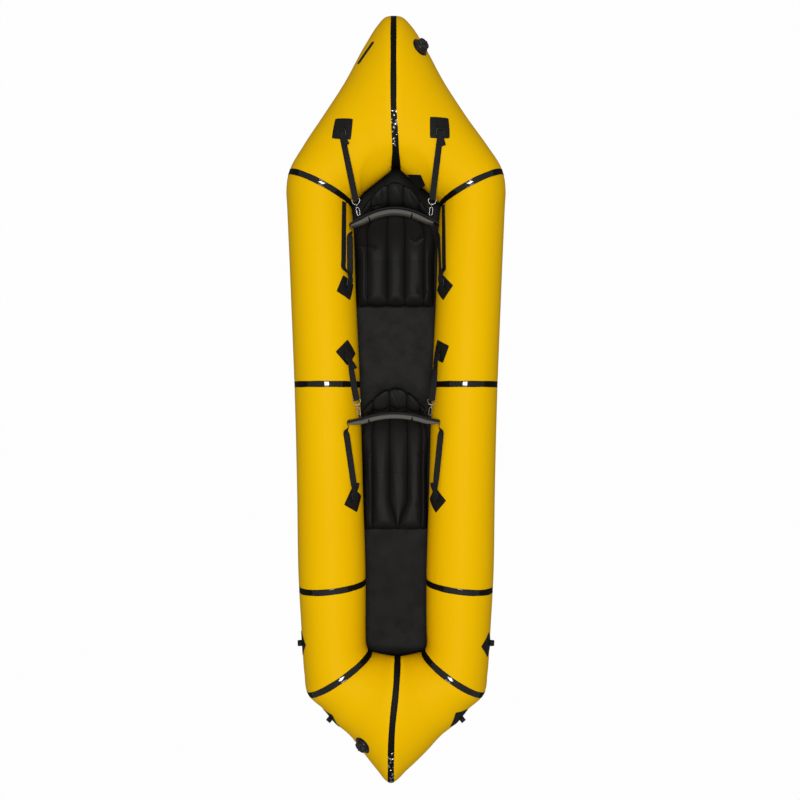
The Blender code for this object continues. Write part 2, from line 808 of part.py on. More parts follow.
def floor_panel(name, rows):
    panel = Shell()
    lower, upper = [], []
    for row in rows:
        for grid, drop in ((upper, FLOOR_DROP), (lower, FLOOR_DROP + FLOOR_THICKNESS)):
            grid.append([Vector((x * row.x, row.y, row.z - drop)) for x in (-1, 0, 1)])
    panel.plate(lower, upper)
    return panel.add(name, FLOOR_BLACK)


floor_panel("floor_sheet", floor_rows([name for name, _ in PANELS]))


# Stern strip and the two valves
def valve_loops(cuts, frame, s, angle):
    """The flange laid on the tube, the body standing on it, and the seat sunk into its top."""
    loops = []
    angles = [2 * math.pi * k / VALVE_FACETS for k in range(VALVE_FACETS)]
    laid = [(VALVE_FLANGE * share, PATCH_LIFT) for share in (0.08, 0.5, 1.0)]
    for radius, lift in laid + [(VALVE_FLANGE, PATCH_TOP), (VALVE_RADIUS, PATCH_TOP)]:
        loop = []
        for a in angles:
            target = frame @ (Vector((math.cos(a), math.sin(a), 0)) * radius)
            p, q = landing(cuts, s, angle, target, frame)
            loop.append(tube_point(cuts, p, q) + tube_normal(cuts, p, q) * lift)
        loops.append(loop)
    rises = (
        (VALVE_RADIUS, VALVE_HEIGHT - VALVE_LIP),
        (VALVE_RADIUS - VALVE_LIP, VALVE_HEIGHT),
        (VALVE_SEAT_RADIUS, VALVE_HEIGHT),
        (VALVE_SEAT_RADIUS, VALVE_HEIGHT - VALVE_SEAT_DEPTH),
    )
    return loops + [round_loop(frame, radius, radius, rise) for radius, rise in rises]


def round_loop(frame, half_x, half_y, rise):
    angles = [2 * math.pi * k / VALVE_FACETS for k in range(VALVE_FACETS)]
    return [frame @ Vector((half_x * math.cos(a), half_y * math.sin(a), rise)) for a in angles]


strip = Shell()
cuts = TUBES["stern_tube", -1]
s, angle = locate(cuts, STERN_STRIP_SHARES[0] * HALF_WIDTH, STERN_STRIP_SHARES[1] * HULL_LENGTH)
lay_patch(strip, cuts, s, angle, tube_frame(cuts, s, angle), STERN_STRIP_HALF_WIDTH, STERN_STRIP_HALF_LENGTH)
strip.add("stern_strip", TAPE_BLACK)

for valve_name, panel_name, side, (x_share, y_share) in VALVES:
    cuts = TUBES[panel_name, side]
    s, angle = locate(cuts, x_share * HALF_WIDTH, y_share * HULL_LENGTH)
    frame = tube_frame(cuts, s, angle)
    body = Shell()
    body.loft(valve_loops(cuts, frame, s, angle))
    body.add(f"{valve_name}_valve_body", PLASTIC_BLACK, frame, crease=35)
    base = VALVE_HEIGHT + GAP
    top = base + CAP_HEIGHT
    grip = CAP_RADIUS - CAP_EDGE * 2
    cap = Shell()
    cap.loft(
        [
            round_loop(frame, CAP_RADIUS, CAP_RADIUS, base),
            round_loop(frame, CAP_RADIUS, CAP_RADIUS, top - CAP_EDGE),
            round_loop(frame, CAP_RADIUS - CAP_EDGE, CAP_RADIUS - CAP_EDGE, top),
            round_loop(frame, grip, CAP_GRIP_HALF_WIDTH, top),
            round_loop(frame, grip - CAP_EDGE, CAP_GRIP_HALF_WIDTH - CAP_EDGE / 2, top + CAP_GRIP_HEIGHT),
        ]
    )
    cap.add(f"{valve_name}_valve_cap", PLASTIC_BLACK, frame, crease=35)


# Tie-downs: a diamond patch with a webbing loop on it, at four places
for tie_name, panel_name, y_share, angle in TIE_DOWNS:
    for side_name, side in SIDES:
        cuts = TUBES[panel_name, side]
        s = station(cuts, y_share * HULL_LENGTH)
        patch = Shell()
        turned = tube_frame(cuts, s, angle, math.pi / 4)
        lay_patch(patch, cuts, s, angle, turned, TIE_PATCH_HALF, TIE_PATCH_HALF)
        frame = tube_frame(cuts, s, angle)
        base = PATCH_TOP - SEWN_DEPTH + WEBBING_THICKNESS / 2
        path = [Vector((x * TIE_HALF_SPAN, 0, base + z * TIE_HEIGHT)) for x, z in TIE_LOOP_SHARES]
        loops = closed_band_loops(path, Vector((0, 1, 0)), TIE_WIDTH, WEBBING_THICKNESS)
        loop = Shell()
        loop.loft([[frame @ p for p in outline] for outline in loops], wrap=True)
        patch.add(f"{tie_name}_tie_down_{side_name}", PATCH_BLACK, frame, joined=[loop])


# Seats: a ribbed cushion on the floor, and a ribbed back with a stiff band across it
def back_path_point(path, reach):
    """The point and direction at this distance along a path of (y, z) points."""
    for a, b in zip(path, path[1:]):
        length = (b - a).length
        if reach <= length or b is path[-1]:
            return a + (b - a) * (reach / length), (b - a).normalized()
        reach -= length


def smooth_path(points, passes=2):
    """Rounds the corners of a path by cutting them, keeping both ends."""
    for _ in range(passes):
        cut = [points[0]]
        for a, b in zip(points, points[1:]):
            cut += [a + (b - a) * 0.25, a + (b - a) * 0.75]
        points = cut + [points[-1]]
    return points


def cushion_height(share):
    base = CUSHION_VALLEY
    outer = RIB_EDGE_SHARES[-2]
    if abs(share) > outer:
        base += (CUSHION_SIDE - CUSHION_VALLEY) * (abs(share) - outer) / (1 - outer)
    return base + (CUSHION_CROWN - base) * rib(share)


def cushion_column(seat, share):
    """An arch over the cushion from its rear edge to its front edge."""
    x = seat["x"] + share * seat["half_width"]
    front = seat["front_y"] + CUSHION_SCALLOP * (1 - rib(share)) ** 2
    middle, half = (seat["rear_y"] + front) / 2, (seat["rear_y"] - front) / 2
    base = FLOOR_THICKNESS + GAP
    height = cushion_height(share) - base
    column = []
    for k in range(CUSHION_ROWS):
        turn = math.pi * k / (CUSHION_ROWS - 1)
        power = 2 / CUSHION_SQUARENESS
        reach = abs(math.cos(turn)) ** power * (1 if turn < math.pi / 2 else -1)
        rise = abs(math.sin(turn)) ** power if 0 < k < CUSHION_ROWS - 1 else 0
        column.append(Vector((x, middle + half * reach, base + height * rise)))
    return column


def band_curve(seat, x):
    return -seat["sag"] * (x / seat["band_half"]) ** 2


def back_loop(seat, path, share):
    """The outline of the back in one lengthwise cut: up its front and down its rear."""
    length = sum((b - a).length for a, b in zip(path, path[1:])) - BACK_ARCH * share**2
    ends = [BACK_ROUND * e for e in BACK_END_SHARES]
    spans = BACK_SPANS
    middle = [BACK_ROUND + (length - BACK_ROUND * 2) * k / spans for k in range(1, spans)]
    rows = ends + middle + [length - e for e in reversed(ends)]
    base = BACK_VALLEY
    outer = RIB_EDGE_SHARES[-2]
    if abs(share) > outer:
        base += (BACK_SIDE - BACK_VALLEY) * (abs(share) - outer) / (1 - outer)
    thickness = base + (BACK_CROWN - base) * rib(share)
    front, rear = [], []
    for reach in rows:
        near = min(reach, length - reach) / BACK_ROUND
        edge = math.sqrt(max(0.0, 1 - (1 - near) ** 2)) if near < 1 else 1.0
        place, along = back_path_point(path, reach)
        out = Vector((-along.y, along.x)) * (thickness / 2 * edge * (1 - BACK_THINNING_SHARE * reach / length))
        x = share * (seat["half_width"] - BACK_NARROWING * reach / length)
        bend = band_curve(seat, x) * min(max(place.y / seat["bend_rise"], 0), 1) ** 2
        for side, points in ((1, front), (-1, rear)):
            point = place + out * side
            points.append(Vector((seat["x"] + x, seat["hinge"].y + point.x + bend, seat["hinge"].z + point.y)))
    return front + rear[-2:0:-1]


def seat_sizes(name, shares):
    seat = {
        "name": name,
        "x": shares["x_share"] * HALF_WIDTH,
        "half_width": shares["half_width_share"] * HALF_WIDTH,
        "rear_y": shares["rear_y_share"] * HULL_LENGTH,
        "front_y": shares["front_y_share"] * HULL_LENGTH,
        "band_half": shares["band_half_share"] * HALF_WIDTH,
        "band_z": shares["band_z_share"] * TUBE_DIAMETER,
        "sag": shares["band_sag_share"] * HALF_WIDTH,
        "bend_rise": BAND_RISE_SHARE * TUBE_DIAMETER,
    }
    crest = max(rib(share) for share in rib_columns())
    cushion_top = CUSHION_VALLEY + (CUSHION_CROWN - CUSHION_VALLEY) * crest
    hinge_z = cushion_top + (BACK_VALLEY + (BACK_CROWN - BACK_VALLEY) * crest) / 2 + GAP
    seat["hinge"] = Vector((seat["x"], shares["hinge_y_share"] * HULL_LENGTH, hinge_z))
    return seat


def band_points(seat, offset, x_from, x_to, spans):
    """Points along the band's curve in plan, moved aft by offset square to the curve."""
    points = []
    for k in range(spans + 1):
        x = x_from + (x_to - x_from) * k / spans
        slope = -2 * seat["sag"] * x / seat["band_half"] ** 2
        normal = Vector((-slope, 1, 0)).normalized()
        points.append(Vector((seat["x"] + x, seat["band_y"] + band_curve(seat, x), seat["band_z"])) + normal * offset)
    return points


UP = Vector((0, 0, 1))


def anchor_place(key, toward):
    """Where a strap is fastened: its tube, the place on it, up from it and its buckle's bar."""
    panel_name, (x_share, y_share), _, _ = STRAP_TABLE[key]
    cuts = TUBES[panel_name, key[2]]
    s, angle = locate(cuts, x_share * HALF_WIDTH, y_share * HULL_LENGTH)
    up = tube_normal(cuts, s, angle)
    level = level_frame(tube_point(cuts, s, angle), Vector((0, toward, 0)), up)
    return cuts, s, angle, up, level @ Vector((0, BAR_SHIFT, PATCH_TOP + BAR_TO_PATCH))


def anchor(key, toward):
    """A strap's patch laid on the tube, the place of its buckle's bar, and up from it."""
    _, _, (heading_x, heading_y), half = STRAP_TABLE[key]
    cuts, s, angle, up, bar = anchor_place(key, toward)
    frame = level_frame(tube_point(cuts, s, angle), Vector((heading_x, heading_y, 0)), up)
    patch = Shell()
    lay_patch(patch, cuts, s, angle, frame, half, half)
    return patch, bar, up


def hook_loop_frame(seat, side):
    """The middle of the webbing loop behind the band on one side, with Y along its strap."""
    x = side * HOOK_LOOP_REACH
    behind = BAND_THICKNESS / 2 + GAP + BACKING_THICKNESS - HOOK_LOOP_SEWN_DEPTH
    root = band_points(seat, behind, x, x, 1)[0] + UP * HOOK_LOOP_RISE
    bar = anchor_place((seat["name"], "aft", side), -1)[4]
    return level_frame(root, bar - root, UP) @ Matrix.Translation((0, HOOK_LOOP_HALF_DEPTH, 0))


def hook_loop(seat, side):
    frame = hook_loop_frame(seat, side)
    turns = [2 * math.pi * k / HOOK_LOOP_FACETS for k in range(HOOK_LOOP_FACETS)]
    path = [Vector((0, HOOK_LOOP_HALF_DEPTH * math.cos(a), HOOK_LOOP_HALF_HEIGHT * math.sin(a))) for a in turns]
    loop = Shell()
    outlines = closed_band_loops(path, ACROSS, HOOK_LOOP_WIDTH, WEBBING_THICKNESS)
    loop.loft([[frame @ p for p in outline] for outline in outlines], wrap=True)
    return loop


ACROSS = Vector((1, 0, 0))
SEATS = []
for seat_name, shares in SEAT_TABLE:
    seat = seat_sizes(seat_name, shares)
    SEATS.append(seat)
    cushion = Shell()
    cushion.loft([cushion_column(seat, share) for share in rib_columns()])
    cushion.add(f"{seat_name}_seat_cushion", SEAT_BLACK, crease=70)

    path = smooth_path([Vector(p) * TUBE_DIAMETER for p in shares["back_path_shares"]])
    first, along = path[0], (path[1] - path[0]).normalized()
    path[0] = first - along * BACK_ROUND
    fold = Matrix.Translation(seat["hinge"])
    back = Shell()
    loops = [back_loop(seat, path, share) for share in rib_columns()]
    back.loft(loops)
    seat["back"] = back.add(f"{seat_name}_backrest", SEAT_BLACK, fold, crease=70)

    low, high = seat["band_z"] - BACKING_HEIGHT / 2, seat["band_z"] + BACKING_HEIGHT / 2
    rear_face = None
    for a, b in zip(loops, loops[1:]):
        for k in range(len(a) - 1):
            for p, q in ((a[k], a[k + 1]), (a[k], b[k]), (a[k], b[k + 1]), (a[k + 1], b[k])):
                for at in (p.lerp(q, step / 8) for step in range(9)):
                    if low - GAP <= at.z <= high + GAP:
                        free = at.y - band_curve(seat, at.x - seat["x"])
                        rear_face = free if rear_face is None else min(rear_face, free)
    stack = BAND_THICKNESS / 2 + GAP + BACKING_THICKNESS + GAP + WEBBING_THICKNESS + BAND_CLEARANCE
    seat["band_y"] = rear_face - stack

    band = Shell()
    half = seat["band_half"]
    points = band_points(seat, 0, -half, half, BAND_SPANS)
    band.loft(ribbon_loops(points, [UP] * len(points), BAND_HEIGHT, BAND_THICKNESS))
    band.add(f"{seat_name}_back_band", BAND_GREY, fold, seat["back"])
    backing = Shell()
    behind = BAND_THICKNESS / 2 + GAP + BACKING_THICKNESS / 2
    points = band_points(seat, behind, -half, half, BAND_SPANS)
    backing.loft(ribbon_loops(points, [UP] * len(points), BACKING_HEIGHT, BACKING_THICKNESS))
    hook_loops = [hook_loop(seat, side) for _, side in SIDES]
    backing.add(f"{seat_name}_band_backing", SEAT_BLACK, fold, seat["back"], joined=hook_loops)


# Straps: each runs from a buckle on the tube to the end or the rear of a seat's band
def buckle_plate(shell):
    """A frame with two slots: the near bar turns in its loop, the webbing goes round the middle."""
    xs = (-BUCKLE_WIDTH / 2, -BUCKLE_OPENING / 2, BUCKLE_OPENING / 2, BUCKLE_WIDTH / 2)
    ys = [-BUCKLE_BAR / 2]
    for step in (BUCKLE_BAR, BUCKLE_SLOT, BUCKLE_MIDDLE_BAR, BUCKLE_SLOT, BUCKLE_LIP):
        ys.append(ys[-1] + step)
    kept = {(j, i) for i in range(3) for j in range(5) if not (i == 1 and j in (1, 3))}
    low, high = ([[Vector((x, y, z)) for x in xs] for y in ys] for z in (-BUCKLE_THICKNESS / 2, BUCKLE_THICKNESS / 2))
    shell.sheet(low, high, kept)

def fit_buckle(name, patch, bar, up, end):
    """Adds the patch with the loop that the buckle's bar turns in, and the buckle."""
    flat = level_frame(bar, end - bar, up)
    path = [Vector((0, y, z)) * BUCKLE_LENGTH for y, z in LOOP_PATH_SHARES]
    outlines = closed_band_loops(path, ACROSS, WEBBING_WIDTH, WEBBING_THICKNESS)
    loop = Shell()
    loop.loft([[flat @ p for p in outline] for outline in outlines], wrap=True)
    patch.add(f"{name}_patch", PATCH_BLACK, flat, joined=[loop])
    frame = frame_of(bar, end - bar, up)
    buckle = Shell()
    buckle_plate(buckle)
    buckle.points = [tuple(frame @ Vector(p)) for p in buckle.points]
    buckle.add(f"{name}_buckle", PLASTIC_BLACK, frame)
    return frame


def outboard(frame, side):
    return 1 if frame.col[0].x * side > 0 else -1


def short_tail(frame, side):
    """The strap's loose end, lying on the strap from its buckle."""
    way = outboard(frame, side)
    points = placed(frame, [(x * way, y, z) for x, y, z in SHORT_TAIL_SHARES], BUCKLE_LENGTH)
    return points, [frame.col[0].to_3d()] * len(points)


def long_tail(frame, side, start, finish):
    """A loose end that leaves its buckle to one side and then lies along the tube."""
    way = outboard(frame, side)
    points = placed(frame, [(x * way, y, z) for x, y, z in LONG_TAIL_START_SHARES], BUCKLE_LENGTH)
    sides = [frame.col[0].to_3d()] * len(points)
    cuts = TUBES["side_tube", side]
    for k in range(TAIL_SPANS + 1):
        x_share, y_share = (a + (b - a) * k / TAIL_SPANS for a, b in zip(start, finish))
        s, angle = locate(cuts, x_share * HALF_WIDTH, y_share * HULL_LENGTH)
        normal = tube_normal(cuts, s, angle)
        points.append(tube_point(cuts, s, angle) + normal * TAIL_LIFT)
        sides.append(Vector((0, 1, 0)).cross(normal).normalized())
    return points, sides


def aft_strap(seat, side):
    """One of the straps that hold a seat's back from behind, and its end round the D-ring."""
    name = f"{seat['name']}_aft"
    patch, bar, up = seat["anchors", side]
    end = seat["rings", side] @ Vector((0, D_RING_DEPTH, 0))
    frame = fit_buckle(f"{name}_{SIDE_NAMES[side]}", patch, bar, up, end)
    buckle_side = frame.col[0].to_3d()
    far = frame_of(end, end - bar, seat["rings", side].col[2].to_3d())
    wrap = placed(far, [(0, y, z) for y, z in STRAP_END_SHARES], D_RING_DEPTH)
    tail, tail_sides = short_tail(frame, side)
    thread = placed(frame, [(0, y, z) for y, z in THREAD_SHARES], BUCKLE_LENGTH)
    points, sides = tail[::-1] + thread, tail_sides[::-1] + [buckle_side] * len(thread)
    far_side = far.col[0].to_3d()
    for k in range(1, TWIST_SPANS):
        points.append(thread[-1].lerp(wrap[0], k / TWIST_SPANS))
        sides.append(buckle_side.lerp(far_side, k / TWIST_SPANS).normalized())
    points, sides = points + wrap, sides + [far_side] * len(wrap)
    strap = Shell()
    strap.loft(ribbon_loops(points, sides, WEBBING_WIDTH, WEBBING_THICKNESS))
    strap.add(f"{name}_strap_{SIDE_NAMES[side]}", WEBBING_BLACK)


def fore_half(seat, side):
    """One half of the webbing that runs behind the band: from its loose end to the band's end."""
    name = seat["name"]
    patch, bar, up = anchor((name, "fore", side), 1)
    half = seat["band_half"]
    behind = BAND_THICKNESS / 2 + BACKING_THICKNESS + GAP * 2 + WEBBING_THICKNESS / 2
    slope = -2 * seat["sag"] * side / half
    tangent = Vector((side, slope * side, 0)).normalized()
    normal = Vector((-slope, 1, 0)).normalized()
    tip = band_points(seat, 0, side * half, side * half, 1)[0] - UP * STRAP_DROP
    off = GAP * 4 + WEBBING_THICKNESS / 2
    turn_out = tip + tangent * off + normal * (behind - off)
    turn_in = tip + tangent * off - normal * (BAND_THICKNESS / 2)
    leave = turn_in + Vector((0, -STRAP_LEAVE, 0))
    frame = fit_buckle(f"{name}_fore_{SIDE_NAMES[side]}", patch, bar, up, leave)
    if (name, side) in LONG_TAILS:
        tail, tail_sides = long_tail(frame, side, *LONG_TAILS[name, side])
    else:
        tail, tail_sides = short_tail(frame, side)
    thread = placed(frame, [(0, y, z) for y, z in THREAD_SHARES], BUCKLE_LENGTH)
    buckle_side = frame.col[0].to_3d()
    last = UP if UP.dot(buckle_side) > 0 else -UP
    twist = [k / TWIST_SPANS for k in range(1, TWIST_SPANS)]
    points = tail[::-1] + thread + [thread[-1].lerp(leave, share) for share in twist]
    points += [leave, turn_in, turn_out]
    sides = tail_sides[::-1] + [buckle_side] * len(thread)
    sides += [buckle_side.lerp(last, share).normalized() for share in twist]
    sides += [last] * (len(points) - len(sides))
    return points, sides


def fore_strap(seat):
    """The webbing sewn behind a seat's band, with a buckle near each end."""
    port, port_sides = fore_half(seat, 1)
    starboard, starboard_sides = fore_half(seat, -1)
    behind = BAND_THICKNESS / 2 + BACKING_THICKNESS + GAP * 2 + WEBBING_THICKNESS / 2
    half = seat["band_half"]
    sewn = [p - UP * STRAP_DROP for p in band_points(seat, behind, half, -half, BAND_SPANS)]
    up = port_sides[-1]
    flip = 1 if starboard_sides[-1].dot(up) > 0 else -1
    points = port + sewn + starboard[::-1]
    sides = port_sides + [up] * len(sewn) + [side * flip for side in starboard_sides[::-1]]
    strap = Shell()
    strap.loft(ribbon_loops(points, sides, WEBBING_WIDTH, WEBBING_THICKNESS))
    strap.add(f"{seat['name']}_fore_strap", WEBBING_BLACK)


def fit_hook(seat, side):
    """The snap hook in the band's rear loop, its gate, and the D-ring in its eye."""
    name, side_name = seat["name"], SIDE_NAMES[side]
    patch, bar, up = anchor((name, "aft", side), -1)
    around = hook_loop_frame(seat, side)
    catch = around @ Vector((0, HOOK_LOOP_HALF_DEPTH - WEBBING_THICKNESS / 2 - CATCH_ROOM, 0))
    frame = frame_of(catch, bar - catch, UP)
    across, lift = frame.col[0].to_3d(), frame.col[2].to_3d()

    middle = HOOK_LENGTH + EYE_OFFSET
    turns = [2 * math.pi * k / EYE_FACETS for k in range(EYE_FACETS)]
    eye = Shell()
    path = [frame @ Vector((0, middle + EYE_RADIUS * math.cos(a), EYE_RADIUS * math.sin(a))) for a in turns]
    eye.loft(wire_loops(path, EYE_WIRE_RADIUS, across, closed=True), wrap=True)
    hook = Shell()
    hook.loft(wire_loops(placed(frame, HOOK_BODY_SHARES, HOOK_LENGTH), WIRE_RADIUS, lift))
    hook_object = hook.add(f"{name}_hook_{side_name}", FITTING_METAL, frame, seat["back"], joined=[eye])

    pivot = Vector((GATE_PIVOT_SHARES[0], GATE_PIVOT_SHARES[1], 0)) * HOOK_LENGTH
    gate = Shell()
    rod = placed(frame, [(GATE_PIVOT_SHARES[0], y) for y in GATE_END_SHARES], HOOK_LENGTH)
    gate.loft(wire_loops(rod, GATE_RADIUS, lift))
    gate.add(f"{name}_gate_{side_name}", FITTING_METAL, frame @ Matrix.Translation(pivot), hook_object)

    inside = EYE_RADIUS - EYE_WIRE_RADIUS - WIRE_RADIUS - GAP
    ring_frame = frame @ Matrix.Translation(Vector((0, middle + inside, 0)))
    d_ring = Shell()
    d_ring.loft(wire_loops(placed(ring_frame, D_RING_SHARES, D_RING_DEPTH), WIRE_RADIUS, lift, closed=True), wrap=True)
    d_ring.add(f"{name}_d_ring_{side_name}", FITTING_METAL, ring_frame, hook_object)
    seat["rings", side] = ring_frame
    seat["anchors", side] = (patch, bar, up)


for seat in SEATS:
    for _, side in SIDES:
        fit_hook(seat, side)
        aft_strap(seat, side)
    fore_strap(seat)
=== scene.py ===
import math

import bmesh
import bpy
import numpy as np
from mathutils import Matrix, Vector


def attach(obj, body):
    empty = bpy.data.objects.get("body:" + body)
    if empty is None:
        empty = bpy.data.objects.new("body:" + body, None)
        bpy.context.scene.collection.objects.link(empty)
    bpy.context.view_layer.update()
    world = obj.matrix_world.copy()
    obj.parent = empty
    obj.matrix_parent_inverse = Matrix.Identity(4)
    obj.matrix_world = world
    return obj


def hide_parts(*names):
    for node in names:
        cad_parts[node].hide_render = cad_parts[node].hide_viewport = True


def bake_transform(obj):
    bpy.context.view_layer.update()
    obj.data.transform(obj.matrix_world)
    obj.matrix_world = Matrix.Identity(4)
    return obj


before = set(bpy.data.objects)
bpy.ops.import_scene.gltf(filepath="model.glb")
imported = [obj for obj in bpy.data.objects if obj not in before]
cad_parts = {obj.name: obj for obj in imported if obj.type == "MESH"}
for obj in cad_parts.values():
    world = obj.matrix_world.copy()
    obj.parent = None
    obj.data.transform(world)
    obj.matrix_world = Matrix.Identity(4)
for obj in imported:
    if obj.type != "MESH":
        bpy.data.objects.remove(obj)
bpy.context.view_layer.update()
bpy.ops.object.select_all(action="DESELECT")


# Studio: the raft lies on a white floor under one large soft lamp in a bright room, and the
# camera hangs straight above its middle.
CAMERA_PLACE = (0.0167, -0.002, 3.64)
LENS = 37.68
LAMP_HEIGHT = 6.5
LAMP_SIZE = 1.7
LAMP_WATTS = 286.0
ROOM_LIGHT = 0.3
GROUND_SIZE = 16
GROUND_DROP = 0.0004
GROUND_GREY = 0.24
GLOW_SHARE = 0.985
WHITE = (1.0, 1.0, 1.0, 1.0)

scene = bpy.context.scene
scene.view_settings.view_transform = "Standard"

camera_data = bpy.data.cameras.new("camera")
camera_data.lens = LENS
camera_data.clip_end = 50
camera = bpy.data.objects.new("camera", camera_data)
camera.location = CAMERA_PLACE
scene.collection.objects.link(camera)
scene.camera = camera

lamp_data = bpy.data.lights.new("lamp", "AREA")
lamp_data.energy = LAMP_WATTS
lamp_data.size = LAMP_SIZE
lamp = bpy.data.objects.new("lamp", lamp_data)
lamp.location = (0.0, 0.0, LAMP_HEIGHT)
scene.collection.objects.link(lamp)

room = bpy.data.worlds.new("room")
room.use_nodes = True
scene.world = room
ray = room.node_tree.nodes.new("ShaderNodeLightPath")
seen = room.node_tree.nodes.new("ShaderNodeMapRange")
seen.inputs["To Min"].default_value = ROOM_LIGHT
seen.inputs["To Max"].default_value = 1.0
background = room.node_tree.nodes["Background"]
background.inputs["Color"].default_value = WHITE
room.node_tree.links.new(ray.outputs["Is Camera Ray"], seen.inputs["Value"])
room.node_tree.links.new(seen.outputs["Result"], background.inputs["Strength"])

bpy.ops.mesh.primitive_plane_add(size=GROUND_SIZE, location=(0, 0, -GROUND_DROP))
ground = bpy.context.object
ground.name = "ground"
paper = bpy.data.materials.new("white_paper")
paper.use_nodes = True
paper_nodes = paper.node_tree.nodes
paper_shader = paper_nodes["Principled BSDF"]
paper_shader.inputs["Base Color"].default_value = (GROUND_GREY, GROUND_GREY, GROUND_GREY, 1.0)
paper_shader.inputs["Roughness"].default_value = 0.9
paper_shader.inputs["Specular IOR Level"].default_value = 0.0
glow = paper_nodes.new("ShaderNodeEmission")
glow.inputs["Color"].default_value = WHITE
paper_mix = paper_nodes.new("ShaderNodeMixShader")
paper_ray = paper_nodes.new("ShaderNodeLightPath")
share = paper_nodes.new("ShaderNodeMath")
share.operation = "MULTIPLY"
share.inputs[1].default_value = GLOW_SHARE
paper.node_tree.links.new(paper_ray.outputs["Is Camera Ray"], share.inputs[0])
paper.node_tree.links.new(share.outputs[0], paper_mix.inputs["Fac"])
paper.node_tree.links.new(paper_shader.outputs[0], paper_mix.inputs[1])
paper.node_tree.links.new(glow.outputs[0], paper_mix.inputs[2])
paper.node_tree.links.new(paper_mix.outputs[0], paper_nodes["Material Output"].inputs["Surface"])
ground.data.materials.append(paper)


# Air tubes: coated nylon, cut as one stern, one side and one bow panel on each side, welded
# tube to tube and blown up hard. Small puckers run into every weld.

# Cuts across the port tube from stern to bow: outer x, y, inner x, y, lowest z, height
TUBE_CUTS = np.array(
    (
        (0.0000, 1.5491, 0.0000, 0.9319, 0.0876, 0.3100),
        (0.0406, 1.5423, 0.0224, 0.9164, 0.0856, 0.3090),
        (0.0732, 1.5122, 0.0366, 0.9064, 0.0816, 0.3060),
        (0.1266, 1.4353, 0.0572, 0.8934, 0.0726, 0.3020),
        (0.2053, 1.2998, 0.0842, 0.8779, 0.0566, 0.2950),
        (0.3060, 1.1557, 0.1241, 0.8541, 0.0366, 0.2870),
        (0.3826, 1.0503, 0.1581, 0.8330, 0.0196, 0.2810),
        (0.4468, 0.9418, 0.1879, 0.8144, 0.0076, 0.2770),
        (0.4570, 0.8761, 0.1840, 0.7797, 0.0036, 0.2760),
        (0.4542, 0.8010, 0.1798, 0.7341, 0.0026, 0.2760),
        (0.4412, 0.4997, 0.1694, 0.4830, 0.0026, 0.2760),
        (0.4237, 0.0626, 0.1506, 0.0626, 0.0026, 0.2760),
        (0.4120, -0.3869, 0.1380, -0.3701, 0.0026, 0.2760),
        (0.4036, -0.7883, 0.1276, -0.7592, 0.0026, 0.2760),
        (0.3966, -0.9046, 0.1274, -0.8714, 0.0056, 0.2760),
        (0.3887, -1.0280, 0.1276, -0.9653, 0.0126, 0.2760),
        (0.3797, -1.1334, 0.1256, -1.0211, 0.0226, 0.2750),
        (0.3647, -1.2124, 0.1119, -1.0500, 0.0346, 0.2750),
        (0.2976, -1.2710, 0.0889, -1.0512, 0.0446, 0.2740),
        (0.2474, -1.3256, 0.0701, -1.0518, 0.0536, 0.2730),
        (0.1892, -1.3693, 0.0535, -1.0521, 0.0636, 0.2720),
        (0.1310, -1.4310, 0.0368, -1.0503, 0.0786, 0.2710),
        (0.0652, -1.4964, 0.0224, -1.0478, 0.0936, 0.2700),
        (0.0000, -1.5512, 0.0000, -1.0472, 0.1026, 0.2700),
    )
)
# The cuts at the seams: stern, stern shoulder, midship, forward, bow shoulder and bow
SEAM_CUTS = (0, 7, 11, 13, 17, 23)
TUBE_THREADS = 112
TUBE_RADIUS = 0.138
TUBE_WALL = 0.0008
WELD_GAP = 0.00015
WELD_DEPTH = 0.0016
WELD_REACH = 0.017
TAPE_HALF = 0.0125
# The puckers are hardest where the tube bends most, seam by seam from the stern
PUCKER_SHARES = (1.0, 1.5, 0.5, 0.6, 1.4, 1.0)
PUCKER_REACH = 0.034
# The folds at the stern's inside corners: how far along and how far round the tube they start
FOLD_DEPTH = 0.0095
FOLD_END = 0.42
FOLD_RUNS = (0, 0.08, 0.16, 0.25, 0.32, FOLD_END)
FOLD_TURNS = (2.50, 2.32, 2.20, 2.15, 2.34, 3.10)
# From this far from its middle, each end of the raft stands a little off its middle line
LEAN_START = 0.95
BOW_LEAN = (0.0055, 0.0145)
BOW_LEAN_PLACE = 1.20
STERN_LEAN = 0.0115
SIDES = (("port", 1), ("starboard", -1))
MIRROR = np.array((-1, 1, -1, 1, 1, 1))

cut_rows = np.vstack((TUBE_CUTS[1] * MIRROR, TUBE_CUTS, TUBE_CUTS[-2] * MIRROR))
steps = (
    np.linalg.norm(np.diff(cut_rows[:, 0:2], axis=0), axis=1)
    + np.linalg.norm(np.diff(cut_rows[:, 2:4], axis=0), axis=1)
) / 2
cut_places = np.concatenate(((-steps[0], 0.0), np.cumsum(steps[1:])))
slopes = np.diff(cut_rows, axis=0) / steps[:, None]
middle = slopes[:-1] * steps[1:, None] + slopes[1:] * steps[:-1, None]
middle /= (steps[1:] + steps[:-1])[:, None]
cut_slopes = np.vstack((slopes[:1], middle, slopes[-1:]))
SEAM_PLACES = [float(cut_places[k + 1]) for k in SEAM_CUTS]
HULL_RUN = SEAM_PLACES[-1]


def smooth(value):
    """Goes from 0 to 1 with soft ends while the value does."""
    value = np.clip(value, 0, 1)
    return value * value * (3 - 2 * value)


